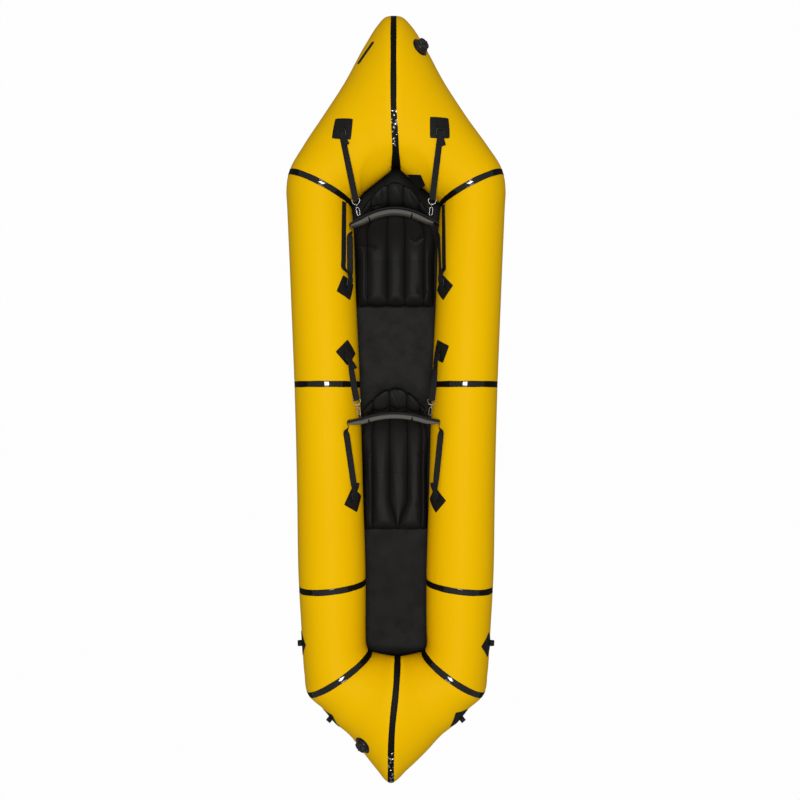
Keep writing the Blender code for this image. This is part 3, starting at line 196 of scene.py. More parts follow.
def tube_cut(run):
    """The cuts at these distances along the port tube, joined by one smooth curve."""
    k = np.clip(np.searchsorted(cut_places, run, side="right") - 1, 0, len(steps) - 1)
    h = steps[k][:, None]
    t = ((run - cut_places[k]) / steps[k])[:, None]
    cut = (2 * t**3 - 3 * t**2 + 1) * cut_rows[k] + (t**3 - 2 * t**2 + t) * h * cut_slopes[k]
    return cut + (3 * t**2 - 2 * t**3) * cut_rows[k + 1] + (t**3 - t**2) * h * cut_slopes[k + 1]


def bare_tube(run, turn):
    """Places on the port tube; a turn of 0 is outermost and a quarter turn is on top."""
    beyond = run > HULL_RUN
    mirrored = (run < 0) | beyond
    cut = tube_cut(np.where(beyond, 2 * HULL_RUN - run, np.abs(run)))
    plan = (cut[:, 0:2] + cut[:, 2:4]) / 2 + (cut[:, 0:2] - cut[:, 2:4]) / 2 * np.cos(turn)[:, None]
    height = cut[:, 4] + cut[:, 5] / 2 * (1 + np.sin(turn))
    return np.column_stack((np.where(mirrored, -plan[:, 0], plan[:, 0]), plan[:, 1], height))


def puckers(run, turn):
    """How far the fabric stands out or in, in metres: it is drawn in and crimped at each weld."""
    rise = 0.0007 * np.sin(run * 5.1 + 1.3 * np.sin(turn + 0.6)) * np.sin(turn * 2 + run * 2.3)
    inner = 0.5 - 0.5 * np.cos(turn)
    for k, seam in enumerate(SEAM_PLACES):
        away = np.abs(run - seam)
        rise -= WELD_DEPTH * np.exp(-((away / WELD_REACH) ** 2))
        fade = np.exp(-(np.maximum(away - TAPE_HALF, 0) / PUCKER_REACH) ** 1.3)
        fade = fade * np.minimum(away / TAPE_HALF, 1) ** 2
        crimp = np.sin(23 * turn + 1.7 * k + 2 * np.sin(2 * turn)) * (0.6 + 0.4 * np.sin(5 * turn + k))
        crimp += 0.5 * np.sin(41 * turn + 3 * np.sin(3 * turn + k))
        rise += fade * crimp * (0.00022 + 0.0006 * inner**3) * PUCKER_SHARES[k]
    run = np.abs(run)
    bent_in = np.clip((turn - np.interp(run, FOLD_RUNS, FOLD_TURNS)) / 0.42, 0, 1)
    return rise - FOLD_DEPTH * bent_in * (2 - bent_in) * np.clip((FOLD_END - run) / 0.08, 0, 1)


def lean(place):
    """How far the raft's ends stand to one side of its middle line, for places in plan."""
    x, y = place[:, 0], place[:, 1]
    bow = -BOW_LEAN[0] - BOW_LEAN[1] * np.tanh((-y - BOW_LEAN_PLACE) / 0.12)
    bow = bow * np.clip((-y - LEAN_START) / 0.08, 0, 1) * np.exp(-((x / 0.12) ** 2))
    return bow - STERN_LEAN * smooth((y - LEAN_START) / 0.22) * smooth((x + 0.11) / 0.16)


def hull_skin(run, turn, side, lift):
    """Places on the finished tube, moved out by lift, and the way out there."""
    run, turn = np.broadcast_arrays(np.asarray(run, float), np.asarray(turn, float))
    e = 1e-3
    along = bare_tube(run + e, turn) - bare_tube(run - e, turn)
    around = bare_tube(run, turn + e) - bare_tube(run, turn - e)
    out = np.cross(around, along)
    out /= np.linalg.norm(out, axis=1)[:, None]
    place = bare_tube(run, turn) + out * (lift + puckers(run, turn))[:, None]
    flip = np.array((side, 1, 1))
    place = place * flip
    place[:, 0] += lean(place)
    return place, out * flip


def merge(reach, fill=False):
    """Merges the active piece's points that are within reach, and closes its holes if told to."""
    bpy.ops.object.mode_set(mode="EDIT")
    bpy.ops.mesh.select_all(action="SELECT")
    bpy.ops.mesh.remove_doubles(threshold=reach)
    if fill:
        bpy.ops.mesh.select_all(action="SELECT")
        bpy.ops.mesh.fill_holes(sides=0)
    bpy.ops.object.mode_set(mode="OBJECT")


def laid_grid(name, ups, overs, place, closed=False):
    """A piece woven of two sets of threads: place gives where each crossing lies.

    The piece's UV map holds the two thread values, in metres where they are metres.
    """
    bpy.ops.mesh.primitive_grid_add(x_subdivisions=len(overs) - 1, y_subdivisions=len(ups) - 1, size=2)
    piece = bpy.context.object
    piece.name = name
    mesh = piece.data
    flat = np.zeros(len(mesh.vertices) * 3)
    mesh.vertices.foreach_get("co", flat)
    flat = flat.reshape(-1, 3)
    j = np.rint((flat[:, 0] + 1) / 2 * (len(overs) - 1)).astype(int)
    i = np.rint((flat[:, 1] + 1) / 2 * (len(ups) - 1)).astype(int)
    up, over = np.asarray(ups, float)[i], np.asarray(overs, float)[j]
    mesh.vertices.foreach_set("co", place(up, over).ravel())
    corners = np.zeros(len(mesh.loops), int)
    mesh.loops.foreach_get("vertex_index", corners)
    mesh.uv_layers[0].data.foreach_set("uv", np.column_stack((over, up))[corners].ravel())
    mesh.update()
    if closed:
        merge(1e-6)
    bpy.ops.object.shade_smooth()
    return piece


def lay_uv(piece, change):
    """Changes a piece's UV map: change takes its across and along values and gives new ones."""
    layer = piece.data.uv_layers[0].data
    flat = np.zeros(len(layer) * 2)
    layer.foreach_get("uv", flat)
    layer.foreach_set("uv", np.column_stack(change(*flat.reshape(-1, 2).T)).ravel())


def finish_piece(piece, body, finish, *nodes, sharp=None, slot=None):
    """Applies a piece's modifiers, points its faces out, and gives it its finish and its body."""
    bpy.ops.object.select_all(action="DESELECT")
    piece.select_set(True)
    bpy.context.view_layer.objects.active = piece
    for modifier in list(piece.modifiers):
        bpy.ops.object.modifier_apply(modifier=modifier.name)
    bpy.ops.object.mode_set(mode="EDIT")
    bpy.ops.mesh.select_all(action="SELECT")
    bpy.ops.mesh.normals_make_consistent(inside=False)
    bpy.ops.object.mode_set(mode="OBJECT")
    if sharp:
        bpy.ops.object.shade_smooth_by_angle(angle=math.radians(sharp))
    piece.data.materials.clear()
    piece.data.materials.append(finish.material)
    if body:
        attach(piece, body)
    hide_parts(*nodes)
    piece.select_set(False)
    return piece


def thicken(piece, thickness, offset):
    wall = piece.modifiers.new("wall", "SOLIDIFY")
    wall.thickness = thickness
    wall.offset = offset
    wall.use_even_offset = False
    return wall


class Value:
    """One value in a finish. An expression on values adds the maths nodes that work it out."""

    def __init__(self, finish, socket):
        self.finish = finish
        self.socket = socket

    def maths(self, operation, *values):
        inputs = dict(enumerate(values))
        return self.finish.part("Math", {"operation": operation}, inputs)

    def __add__(self, other):
        return self.maths("ADD", self, other)

    def __radd__(self, other):
        return self.maths("ADD", other, self)

    def __sub__(self, other):
        return self.maths("SUBTRACT", self, other)

    def __rsub__(self, other):
        return self.maths("SUBTRACT", other, self)

    def __mul__(self, other):
        return self.maths("MULTIPLY", self, other)

    def __rmul__(self, other):
        return self.maths("MULTIPLY", other, self)

    def __abs__(self):
        return self.maths("ABSOLUTE", self)

    def __lt__(self, other):
        return self.maths("LESS_THAN", self, other)

    def __gt__(self, other):
        return self.maths("GREATER_THAN", self, other)


class Finish:
    """A material under way. part adds one node, and its inputs may be values or numbers."""

    def __init__(self, name, color, roughness, **constants):
        self.slot = name
        self.material = bpy.data.materials.new(name)
        self.material.use_nodes = True
        self.nodes = self.material.node_tree.nodes
        self.links = self.material.node_tree.links
        self.shader = self.nodes["Principled BSDF"]
        self.color = color
        self.shader.inputs["Base Color"].default_value = (*color, 1.0)
        self.shader.inputs["Roughness"].default_value = roughness
        for key, value in constants.items():
            self.shader.inputs[key.replace("_", " ")].default_value = value

    def part(self, kind, settings, inputs, output=0):
        made = self.nodes.new("ShaderNode" + kind)
        for key, value in settings.items():
            if key == "stops":
                for k, (at, tone) in enumerate(value):
                    stop = made.color_ramp.elements[k] if k < 2 else made.color_ramp.elements.new(at)
                    stop.position = at
                    stop.color = (tone, tone, tone, 1.0)
            else:
                setattr(made, key, value)
        for key, value in inputs.items():
            if isinstance(value, Value):
                self.links.new(value.socket, made.inputs[key])
            else:
                made.inputs[key].default_value = value
        return Value(self, made.outputs[output])

    def axes(self, kind):
        """The three values of the piece's Object coordinates or its own UV map."""
        split = self.part("SeparateXYZ", {}, {0: self.part("TexCoord", {}, {}, kind)})
        return [Value(self, socket) for socket in split.socket.node.outputs]

    def noise(self, scale, detail=3.0, rough=0.5):
        where = self.part("TexCoord", {}, {}, "Object")
        inputs = {"Vector": where, "Scale": scale, "Detail": detail, "Roughness": rough}
        return self.part("TexNoise", {}, inputs)

    def spots(self, low, high, *noise):
        """Spots of noise: 0 up to the low value and 1 from the high one."""
        return self.part("ValToRGB", {"stops": ((low, 0.0), (high, 1.0))}, {"Fac": self.noise(*noise)})

    def wave(self, value, pitch):
        return value.maths("SINE", value * (2 * math.pi / pitch))

    def tint(self, mask, other):
        """Blends the base colour towards another colour where the mask is 1."""
        base = self.shader.inputs["Base Color"]
        before = Value(self, base.links[0].from_socket) if base.links else (*self.color, 1.0)
        mixed = self.part("Mix", {"data_type": "RGBA"}, {"Factor": mask, 6: before, 7: (*other, 1.0)}, 2)
        self.links.new(mixed.socket, base)

    def feed(self, name, value):
        self.links.new(value.socket, self.shader.inputs[name])

    def relief(self, height, depth):
        """Adds a bump of this depth in metres, on top of any before it."""
        normal = self.shader.inputs["Normal"]
        inputs = {"Height": height, "Distance": depth, "Strength": 1.0}
        if normal.links:
            inputs["Normal"] = Value(self, normal.links[0].from_socket)
        self.links.new(self.part("Bump", {}, inputs).socket, normal)


hull = Finish("hull_fabric", (0.87, 0.505, 0.0), 0.5, Specular_IOR_Level=0.03)
over, up, _ = hull.axes("UV")
weave = hull.wave(over, 0.0012) * hull.wave(up, 0.0012)
hull.tint(hull.noise(2.6, 2.0) * 0.22, (0.80, 0.40, 0.0))
hull.tint(hull.spots(0.62, 0.74, 34.0, 6.0, 0.7) * 0.06, (0.60, 0.34, 0.01))
hull.feed("Roughness", 0.44 + hull.noise(7.0, 4.0) * 0.14)
hull.relief(hull.noise(9.0, 2.0), 0.0012)
hull.relief(weave, 0.000012)

FINEST_ROW = 0.0035
COARSEST_ROW = 0.0140
ROW_GROWTH = 0.10


def panel_runs(start, end):
    """Rows along a panel, close together near its welds."""
    runs = [start + WELD_GAP]
    while runs[-1] < end:
        away = min(abs(runs[-1] - seam) for seam in SEAM_PLACES)
        runs.append(runs[-1] + FINEST_ROW + (COARSEST_ROW - FINEST_ROW) * min(away / ROW_GROWTH, 1))
    return np.interp(runs, (runs[0], runs[-1]), (start + WELD_GAP, end - WELD_GAP))


turns = np.linspace(0, 2 * math.pi, TUBE_THREADS + 1)
for panel, first, last in (("stern", 0, 1), ("side", 1, 4), ("bow", 4, 5)):
    runs = panel_runs(SEAM_PLACES[first], SEAM_PLACES[last])
    for side_name, side in SIDES:
        name = f"{panel}_panel_{side_name}"
        tube = laid_grid(name, runs, turns, lambda run, turn: hull_skin(run, turn, side, 0)[0], closed=True)
        lay_uv(tube, lambda over, up: (over * TUBE_RADIUS, up))
        finish_piece(tube, None, hull)
        thicken(tube, TUBE_WALL, -1)
        finish_piece(tube, "hull", hull, f"{panel}_tube_{side_name}")


# Seam tapes: glossy black film, 25 mm wide, ironed over every weld round the whole tube. It
# lies in the shallow groove of the weld and is finely crinkled.
TAPE_LIFT = 0.0005
TAPE_THICKNESS = 0.0006
# Where the centre tapes are crushed and catch the light, and where the others shine on top
CENTRE_HALF = 0.06
CRUSHED_STERN = (1.00, 1.13)
CRUSHED_BOW = -1.375
SHINE_HEIGHT = 0.258

tape = Finish("seam_tape", (0.0022, 0.0020, 0.0018), 0.55, Specular_IOR_Level=0.12, Coat_Roughness=0.05)
crinkle = tape.noise(75.0, 3.0, 0.6)
tape.tint(crinkle * 0.3, (0.006, 0.004, 0.003))
tape.relief(crinkle, 0.0007)
x_place, y_place, z_place = tape.axes("Object")
centre = abs(x_place) < CENTRE_HALF
crushed = (y_place > CRUSHED_STERN[0]) * (y_place < CRUSHED_STERN[1]) + (y_place < CRUSHED_BOW)
lump = tape.noise(84.0, 0.0, 0.5)
creased = (lump > 0.612) * (centre * crushed)
tape.relief(lump * creased, 0.012)
tape.tint(creased, (0.55, 0.55, 0.54))
tape.feed("Metallic", creased)
tape.feed("Coat Weight", (z_place > SHINE_HEIGHT) * (1 - centre))
tape.feed("Roughness", 0.5 + tape.noise(30.0, 3.0) * 0.2 - creased * 0.34)


def tape_place(seam, side):
    """Where the tape over one weld lies; up is the distance to one side of the weld."""

    def place(up, turn):
        at = np.full(len(turn), seam)
        speed = np.linalg.norm(bare_tube(at + 1e-3, turn) - bare_tube(at - 1e-3, turn), axis=1) / 2e-3
        edge = 1 + 0.03 * np.sin(turn * 9 + seam) * np.abs(up / TAPE_HALF)
        return hull_skin(at + up * edge / speed, turn, side, TAPE_LIFT)[0]

    return place


rims = np.linspace(-TAPE_HALF, TAPE_HALF, 7)
tape_turns = np.linspace(0, 2 * math.pi, 225)
tapes = [("stern_seam_tape", 0, 1), ("bow_seam_tape", 5, 1)]
for name, seam in (("stern_shoulder", 1), ("midship", 2), ("forward", 3), ("bow_shoulder", 4)):
    tapes += [(f"{name}_tape_{side_name}", seam, side) for side_name, side in SIDES]
for name, seam, side in tapes:
    strip = laid_grid(name, rims, tape_turns, tape_place(SEAM_PLACES[seam], side), closed=True)
    lay_uv(strip, lambda over, up: (up, over * TUBE_RADIUS))
    finish_piece(strip, None, tape)
    thicken(strip, TAPE_THICKNESS, 1)
    finish_piece(strip, "hull", tape, "seam_tapes")


# Floor: one sheet of heavier black fabric, bonded along the lowest line of the tubes, flat
# between them and rising to a point under the stern and the bow.
FLOOR_THICKNESS = 0.0012
FLOOR_DROP = 0.0014
FLOOR_ENDS = (0.0185, 0.0135)
FLOOR_HALF = 0.3
RIPPLE = 0.0009

floor = Finish("floor_fabric", (0.0062, 0.0058, 0.0046), 0.55, Specular_IOR_Level=0.10)
over, up, _ = floor.axes("UV")
floor.relief(floor.wave(over, 0.0016) * floor.wave(up, 0.0016), 0.00006)
floor.relief(floor.noise(6.0, 3.0), 0.004)
dust = floor.spots(0.45, 0.8, 14.0, 5.0, 0.65)
floor.tint(dust * 0.3, (0.012, 0.0115, 0.0095))
floor.feed("Roughness", 0.46 + dust * 0.2)


def floor_place(run, over):
    cut = tube_cut(run)
    half = (cut[:, 0] + cut[:, 2]) / 2
    y = (cut[:, 1] + cut[:, 3]) / 2
    inside = np.maximum(1 - np.abs(over) ** 4, 0)
    ripple = RIPPLE * np.sin(y * 13 + 2 * over) * np.sin(y * 5.3 + over * 4)
    ripple = np.maximum(ripple * np.abs(np.sin(y * 3.1)) * inside, 0)
    place = np.column_stack((over * half, y, cut[:, 4] - FLOOR_DROP + ripple))
    place[:, 0] += lean(place)
    return place


runs = np.linspace(FLOOR_ENDS[0], HULL_RUN - FLOOR_ENDS[1], 260)
sheet = laid_grid("floor", runs, np.linspace(-1, 1, 41), floor_place)
lay_uv(sheet, lambda over, up: (over * FLOOR_HALF, up))
thicken(sheet, FLOOR_THICKNESS, -1)
finish_piece(sheet, "hull", floor, "floor_sheet")


# Patches: squares of black fabric with rounded corners, welded flat to the tubes, and the
# short black strip near the stern.
PATCH_LIFT = 0.0009
PATCH_THICKNESS = 0.0011
PATCH_CORNER = 0.045
PATCH_BEVEL = 0.0003
STRIP_LINE = ((-0.0873, 1.4133), (-0.1509, 1.3359))
STRIP_HALF_LENGTH = 0.0500
STRIP_HALF_WIDTH = 0.0062
STRIP_LIFT = 0.0006
STRIP_THICKNESS = 0.0008

patch_cloth = Finish("patch_fabric", (0.0085, 0.0080, 0.0072), 0.62, Specular_IOR_Level=0.16)
over, up, _ = patch_cloth.axes("UV")
patch_cloth.relief(patch_cloth.wave(over, 0.0014) * patch_cloth.wave(up, 0.0014), 0.00005)
patch_cloth.relief(patch_cloth.noise(45.0, 4.0), 0.0006)
rubbed = patch_cloth.spots(0.5, 0.8, 90.0, 5.0, 0.7)
patch_cloth.tint(rubbed * 0.4, (0.020, 0.019, 0.018))
patch_cloth.feed("Roughness", 0.55 + rubbed * 0.15)


def stood(place, y, z):
    made = Matrix((y.cross(z), y, z)).transposed().to_4x4()
    made.translation = Vector(place)
    return made


def level(place, along, up):
    """A frame standing on place with Z up and Y as near to along as it can be."""
    z = Vector(up).normalized()
    return stood(place, (Vector(along) - z * Vector(along).dot(z)).normalized(), z)


def ahead(place, along, up):
    """A frame at place with Y along and Z as near to up as it can be."""
    y = Vector(along).normalized()
    return stood(place, y, (Vector(up) - y * Vector(up).dot(y)).normalized())


def moved(matrix, points):
    """Rows of points taken out of a frame."""
    points = np.asarray(points, float).reshape(-1, 3)
    turned = np.array(matrix.to_3x3())
    return points @ turned.T + np.array(matrix.translation)


search_grid = np.meshgrid(np.linspace(0, HULL_RUN, 400), np.linspace(-0.5, 3.4, 90))
search_runs, search_turns = (grid.ravel() for grid in search_grid)


def landed(matrix, flat, side, lift):
    """Points of a frame's plane dropped on the hull, moved out by lift, and the way out."""
    back = np.array(matrix.inverted())

    def seen(run, turn):
        place, _ = hull_skin(run, turn, side, 0)
        return (place @ back[:3, :3].T + back[:3, 3])[:, :2]

    place, _ = hull_skin(search_runs, search_turns, side, 0)
    near = np.argmin(np.linalg.norm(place - np.array(matrix.translation), axis=1))
    run = np.full(len(flat), search_runs[near])
    turn = np.full(len(flat), search_turns[near])
    for _ in range(8):
        miss = seen(run, turn) - flat
        by_run = (seen(run + 1e-4, turn) - seen(run - 1e-4, turn)) / 2e-4
        by_turn = (seen(run, turn + 1e-4) - seen(run, turn - 1e-4)) / 2e-4
        size = by_run[:, 0] * by_turn[:, 1] - by_run[:, 1] * by_turn[:, 0]
        run = run - np.clip((miss[:, 0] * by_turn[:, 1] - miss[:, 1] * by_turn[:, 0]) / size, -0.05, 0.05)
        turn = turn - np.clip((by_run[:, 0] * miss[:, 1] - by_run[:, 1] * miss[:, 0]) / size, -0.3, 0.3)
    return hull_skin(run, turn, side, lift)


def lay_patch(name, matrix, half, side, node):
    """A square patch with its edges along the frame's axes, dropped on the hull."""

    def place(up, over):
        pull = 1 - PATCH_CORNER * (over / half * (up / half)) ** 4
        return landed(matrix, np.column_stack((over * pull, up * pull)), side, PATCH_LIFT)[0]

    threads = np.linspace(-half, half, 25)
    patch = laid_grid(name, threads, threads, place)
    thicken(patch, PATCH_THICKNESS, 1)
    soft = patch.modifiers.new("edge", "BEVEL")
    soft.width = PATCH_BEVEL
    soft.segments = 2
    soft.limit_method = "ANGLE"
    finish_piece(patch, "hull", patch_cloth, node, sharp=50)


# Each strap's patch: where its loop stands, the way out of the tube, the way the patch's edges
# run in plan, its half size, and how far its middle lies from the loop
ANCHORS = {
    ("rear", "aft", 1): ((0.1738, 1.0711, 0.3415), (0.2918, -0.0644, 0.9543), (-0.05, 1.0), 0.0410, (0, 0)),
    ("rear", "aft", -1): ((-0.2108, 1.0708, 0.3289), (-0.3568, 0.0154, 0.9340), (0.16, 1.0), 0.0410, (0, 0)),
    ("rear", "fore", 1): (
        (0.1940, 0.4593, 0.2214), (-0.8150, 0.0361, 0.5783), (0.84, 0.54), 0.0385, (-0.002, -0.002)
    ),
    ("rear", "fore", -1): (
        (-0.1966, 0.4577, 0.2250), (0.7959, 0.0352, 0.6045), (0.60, 0.80), 0.0385, (-0.011, -0.003)
    ),
    ("front", "aft", 1): (
        (0.1786, 0.1909, 0.2163), (-0.8388, 0.0372, 0.5431), (0.60, 0.80), 0.0385, (0.006, 0.006)
    ),
    ("front", "aft", -1): (
        (-0.1998, 0.1888, 0.2417), (0.6847, 0.0301, 0.7282), (0.82, 0.57), 0.0385, (0.003, 0.002)
    ),
    ("front", "fore", 1): (
        (0.1665, -0.4101, 0.2261), (-0.7862, 0.0206, 0.6176), (0.84, 0.54), 0.0380, (-0.006, 0)
    ),
    ("front", "fore", -1): (
        (-0.1726, -0.4102, 0.2334), (0.7420, 0.0193, 0.6702), (0.64, 0.77), 0.0380, (0.006, 0)
    ),
}
SIDE_NAMES = {side: side_name for side_name, side in SIDES}
for (seat_name, end, side), (place, out, heading, half, shift) in ANCHORS.items():
    name = f"{seat_name}_{end}_{SIDE_NAMES[side]}_patch"
    matrix = level(Vector(place) + Vector((*shift, 0)), (*heading, 0), out)
    lay_patch(f"{name}_cloth", matrix, half, side, name)

ends = np.array(STRIP_LINE)
from_above = level((*ends.mean(axis=0), 0.35), (*(ends[0] - ends[1]), 0.0), (0, 0, 1))


def strip_place(up, over):
    thin = np.minimum(1, np.sqrt(np.maximum(0, 1 - (np.abs(up) / STRIP_HALF_LENGTH) ** 12)))
    return landed(from_above, np.column_stack((over * thin, up)), -1, STRIP_LIFT)[0]


rows = np.linspace(-STRIP_HALF_LENGTH, STRIP_HALF_LENGTH, 49)
strip = laid_grid("stern_strip_cloth", rows, np.linspace(-STRIP_HALF_WIDTH, STRIP_HALF_WIDTH, 7), strip_place)
thicken(strip, STRIP_THICKNESS, 1)
finish_piece(strip, "hull", patch_cloth, "stern_strip", sharp=50, slot="seam_tape")


# Webbing and wire: every strap, loop, ring and hook is one section swept along its path.
WEBBING_WIDTH = 0.025
WEBBING_THICKNESS = 0.0014

webbing = Finish("webbing", (0.0090, 0.0090, 0.0095), 0.75, Specular_IOR_Level=0.16)
over, up, _ = webbing.axes("UV")
slant = abs(over) * 0.9
webbing.relief(webbing.wave(up + slant, 0.0024) * 0.5 + webbing.wave(over, 0.0019) * 0.5, 0.00022)
fuzz = webbing.noise(420.0, 3.0)
webbing.tint(fuzz * 0.4, (0.020, 0.020, 0.022))
webbing.feed("Roughness", 0.62 + fuzz * 0.2)


def smooth_run(points, sides, spacing, closed):
    """A smooth line through the points, with the strap's width direction at each place."""
    points = [Vector(p) for p in points]
    sides = [sides] * len(points) if isinstance(sides, Vector) else sides
    count = len(points)
    line, widths = [], []
    for k in range(count if closed else count - 1):
        if closed:
            four = [points[(k + n) % count] for n in (-1, 0, 1, 2)]
            pair = sides[k], sides[(k + 1) % count]
        else:
            four = [points[min(max(k + n, 0), count - 1)] for n in (-1, 0, 1, 2)]
            pair = sides[k], sides[k + 1]
        a, b, c, d = four
        span = (c - b).length
        before, after = max((b - a).length, 1e-9), max((d - c).length, 1e-9)
        start = end = (c - b) / span
        if before > 1e-8:
            start = ((b - a) / before * span + (c - b) / span * before) / (span + before)
        if after > 1e-8:
            end = ((d - c) / after * span + (c - b) / span * after) / (span + after)
        pieces = max(2, int(math.ceil(span / spacing)))
        for n in range(pieces):
            t = n / pieces
            spot = b * (2 * t**3 - 3 * t**2 + 1) + c * (3 * t**2 - 2 * t**3)
            spot += start * span * (t**3 - 2 * t**2 + t) + end * span * (t**3 - t**2)
            line.append(spot)
            widths.append(pair[0].lerp(pair[1], t))
    if closed:
        line.append(line[0])
        widths.append(widths[0])
    else:
        line.append(points[-1])
        widths.append(sides[-1])
    return line, widths


def swept(name, points, sides, section, spacing=0.004, closed=False, taper=(0.0, 0.0)):
    """One section, given as (across, up) points, carried along a line. The ends are closed.

    sides is the width direction, or one for each point. Over the tapers, in metres, a section
    grows at each end from under half its up size.
    """
    line, widths = smooth_run(points, sides, spacing, closed)
    spots = np.array(line)
    way = np.gradient(spots, axis=0)
    if closed:
        way[0] = way[-1] = spots[1] - spots[-2]
    way /= np.linalg.norm(way, axis=1)[:, None]
    width = np.array(widths)
    width -= way * (width * way).sum(axis=1)[:, None]
    width /= np.linalg.norm(width, axis=1)[:, None]
    rise = np.cross(width, way)
    lengths = np.concatenate(((0.0,), np.cumsum(np.linalg.norm(np.diff(spots, axis=0), axis=1))))
    section = np.array(section)
    edge = np.concatenate((section, section[:1]))
    round_ = np.concatenate(((0.0,), np.cumsum(np.linalg.norm(np.diff(edge, axis=0), axis=1))))

    def place(up, over):
        i = np.searchsorted(lengths, up - 1e-9)
        j = np.searchsorted(round_, over - 1e-9)
        thin = np.ones((len(up), 1))
        for from_end, reach in zip((up, lengths[-1] - up), taper):
            if reach:
                near = np.clip(from_end / reach, 0, 1)[:, None]
                thin = thin * (0.4 + 0.6 * near * (2 - near))
        rise_here = rise[i] * (edge[j, 1:2] * thin + (1 - thin) * edge[:, 1].max())
        return spots[i] + width[i] * edge[j, 0:1] + rise_here

    piece = laid_grid(name, lengths, round_, place)
    lay_uv(piece, lambda over, up: (np.interp(over, round_, edge[:, 0]), up))
    merge(1e-6, fill=not closed)
    return piece


def flat_section(width, thickness):
    """The section of a woven strap, with soft edges."""
    w, t = width / 2, thickness / 2
    r = t * 0.7
    top = [(w, -t + r), (w, t - r), (w - r, t), (w * 0.33, t), (-w * 0.33, t), (-w + r, t)]
    return top + [(-x, -z) for x, z in top]


def round_section(radius, count=12):
    angles = [2 * math.pi * k / count for k in range(count)]
    return [(radius * math.cos(a), radius * math.sin(a)) for a in angles]


STRAP_SECTION = flat_section(WEBBING_WIDTH, WEBBING_THICKNESS)


# Tie-downs: a diamond patch on each side of the bow and further aft, with a short loop of
# webbing sewn to it that stands clear of the tube.

# On the port side: where each loop stands, the way it runs, and the way out of the tube
TIE_DOWNS = {
    "bow": ((0.2644, -1.2959, 0.2287), (-0.0853, 0.4112, 0.9075), (0.6313, -0.6824, 0.3685)),
    "forward": ((0.3862, -1.0045, 0.1827), (-0.2281, 0.0872, 0.9697), (0.9727, -0.0242, 0.2310)),
}
TIE_PATCH_HALF = 0.037
PORT_PATCH_RISE = 0.030
TIE_WEBBING = (0.020, 0.0016)
TIE_LOOP_HALF = 0.013
TIE_LOOP_HEIGHT = 0.016
TIE_LOOP_LIFT = 0.0028
TIE_LOOP = (
    (-0.85, 0.0), (-1.05, 0.35), (-0.75, 0.85), (0.0, 1.0),
    (0.75, 0.85), (1.05, 0.35), (0.85, 0.0), (0.0, 0.0),
)
for end, (place, across, out) in TIE_DOWNS.items():
    for side_name, side in SIDES:
        name = f"{end}_tie_down_{side_name}"
        x, z = Vector(np.multiply(across, (1, side, side))), Vector(np.multiply(out, (side, 1, 1)))
        upright = level(np.multiply(place, (side, 1, 1)), z.cross(x), z)
        raised = Matrix.Translation((0, 0, PORT_PATCH_RISE if side > 0 else 0)) @ upright
        diamond = raised @ Matrix.Rotation(math.pi / 4, 4, "Z")
        lay_patch(f"{name}_patch", diamond, TIE_PATCH_HALF, side, name)
        line = [(a * TIE_LOOP_HALF, 0, TIE_LOOP_LIFT + b * TIE_LOOP_HEIGHT) for a, b in TIE_LOOP]
        line, wide = moved(upright, line), upright.col[1].to_3d()
        loop = swept(f"{name}_loop", line, wide, flat_section(*TIE_WEBBING), 0.002, closed=True)
        finish_piece(loop, "hull", webbing, name, sharp=60)


# Valves: a moulded black flange and collar with a screw cap that has a finger grip, one near
# the stern and one near the bow.
plastic = Finish("black_plastic", (0.0100, 0.0100, 0.0105), 0.32, Specular_IOR_Level=0.5)
plastic.relief(plastic.noise(900.0, 3.0), 0.00005)
worn = plastic.spots(0.55, 0.8, 130.0, 4.0, 0.7)
plastic.tint(worn * 0.5, (0.022, 0.022, 0.023))
plastic.feed("Roughness", 0.32 + worn * 0.2)

# Where each valve stands, a way across it, the way out of the tube, and its side
VALVES = {
    "stern": ((0.1003, 1.3984, 0.3246), (-0.4517, -0.5086, 0.7330), (0.6456, 0.3807, 0.6620), 1),
    "bow": ((-0.1312, -1.3786, 0.2960), (-0.2636, -0.6728, -0.6913), (-0.6089, -0.4398, 0.6602), -1),
}
FLANGE_RADII = (0.0200, 0.0370)
FLANGE_THICKNESS = 0.0018
# Radius and height round the collar, and round the cap
COLLAR = (
    (0.0300, -0.0110), (0.0300, 0.0030), (0.0262, 0.0034), (0.0260, 0.0092), (0.0248, 0.0106),
    (0.0235, 0.0110), (0.0176, 0.0110), (0.0170, 0.0104), (0.0170, 0.0048), (0.0001, 0.0046),
)
CAP = (
    (0.0001, 0.0114), (0.0225, 0.0114), (0.0238, 0.0122), (0.0240, 0.0190),
    (0.0232, 0.0200), (0.0205, 0.0203), (0.0195, 0.0192), (0.0001, 0.0188),
)
RIM_BAND = 0.0012
NOTCHES = 24
NOTCH_DEPTH = 0.0009
GRIP_LINE = ((-0.0190, 0, 0.0215), (-0.0080, 0, 0.0232), (0.0080, 0, 0.0232), (0.0190, 0, 0.0215))
GRIP_SECTION = (0.0065, 0.0052)


def turned(name, matrix, profile, notches=0):
    """A moulding turned round the frame's Z; notches run up its rim."""
    profile = np.array(profile)

    def place(up, over):
        radius, height = profile[np.rint(up).astype(int)].T
        rim = np.where(radius > profile[:, 0].max() - RIM_BAND, 1.0, 0.0)
        if notches:
            radius = radius - NOTCH_DEPTH * rim * (0.5 + 0.5 * np.cos(over * notches)) ** 3
        return moved(matrix, np.column_stack((radius * np.cos(over), radius * np.sin(over), height)))

    piece = laid_grid(name, np.arange(len(profile)), np.linspace(0, 2 * math.pi, 145), place)
    merge(2e-6, fill=True)
    return piece


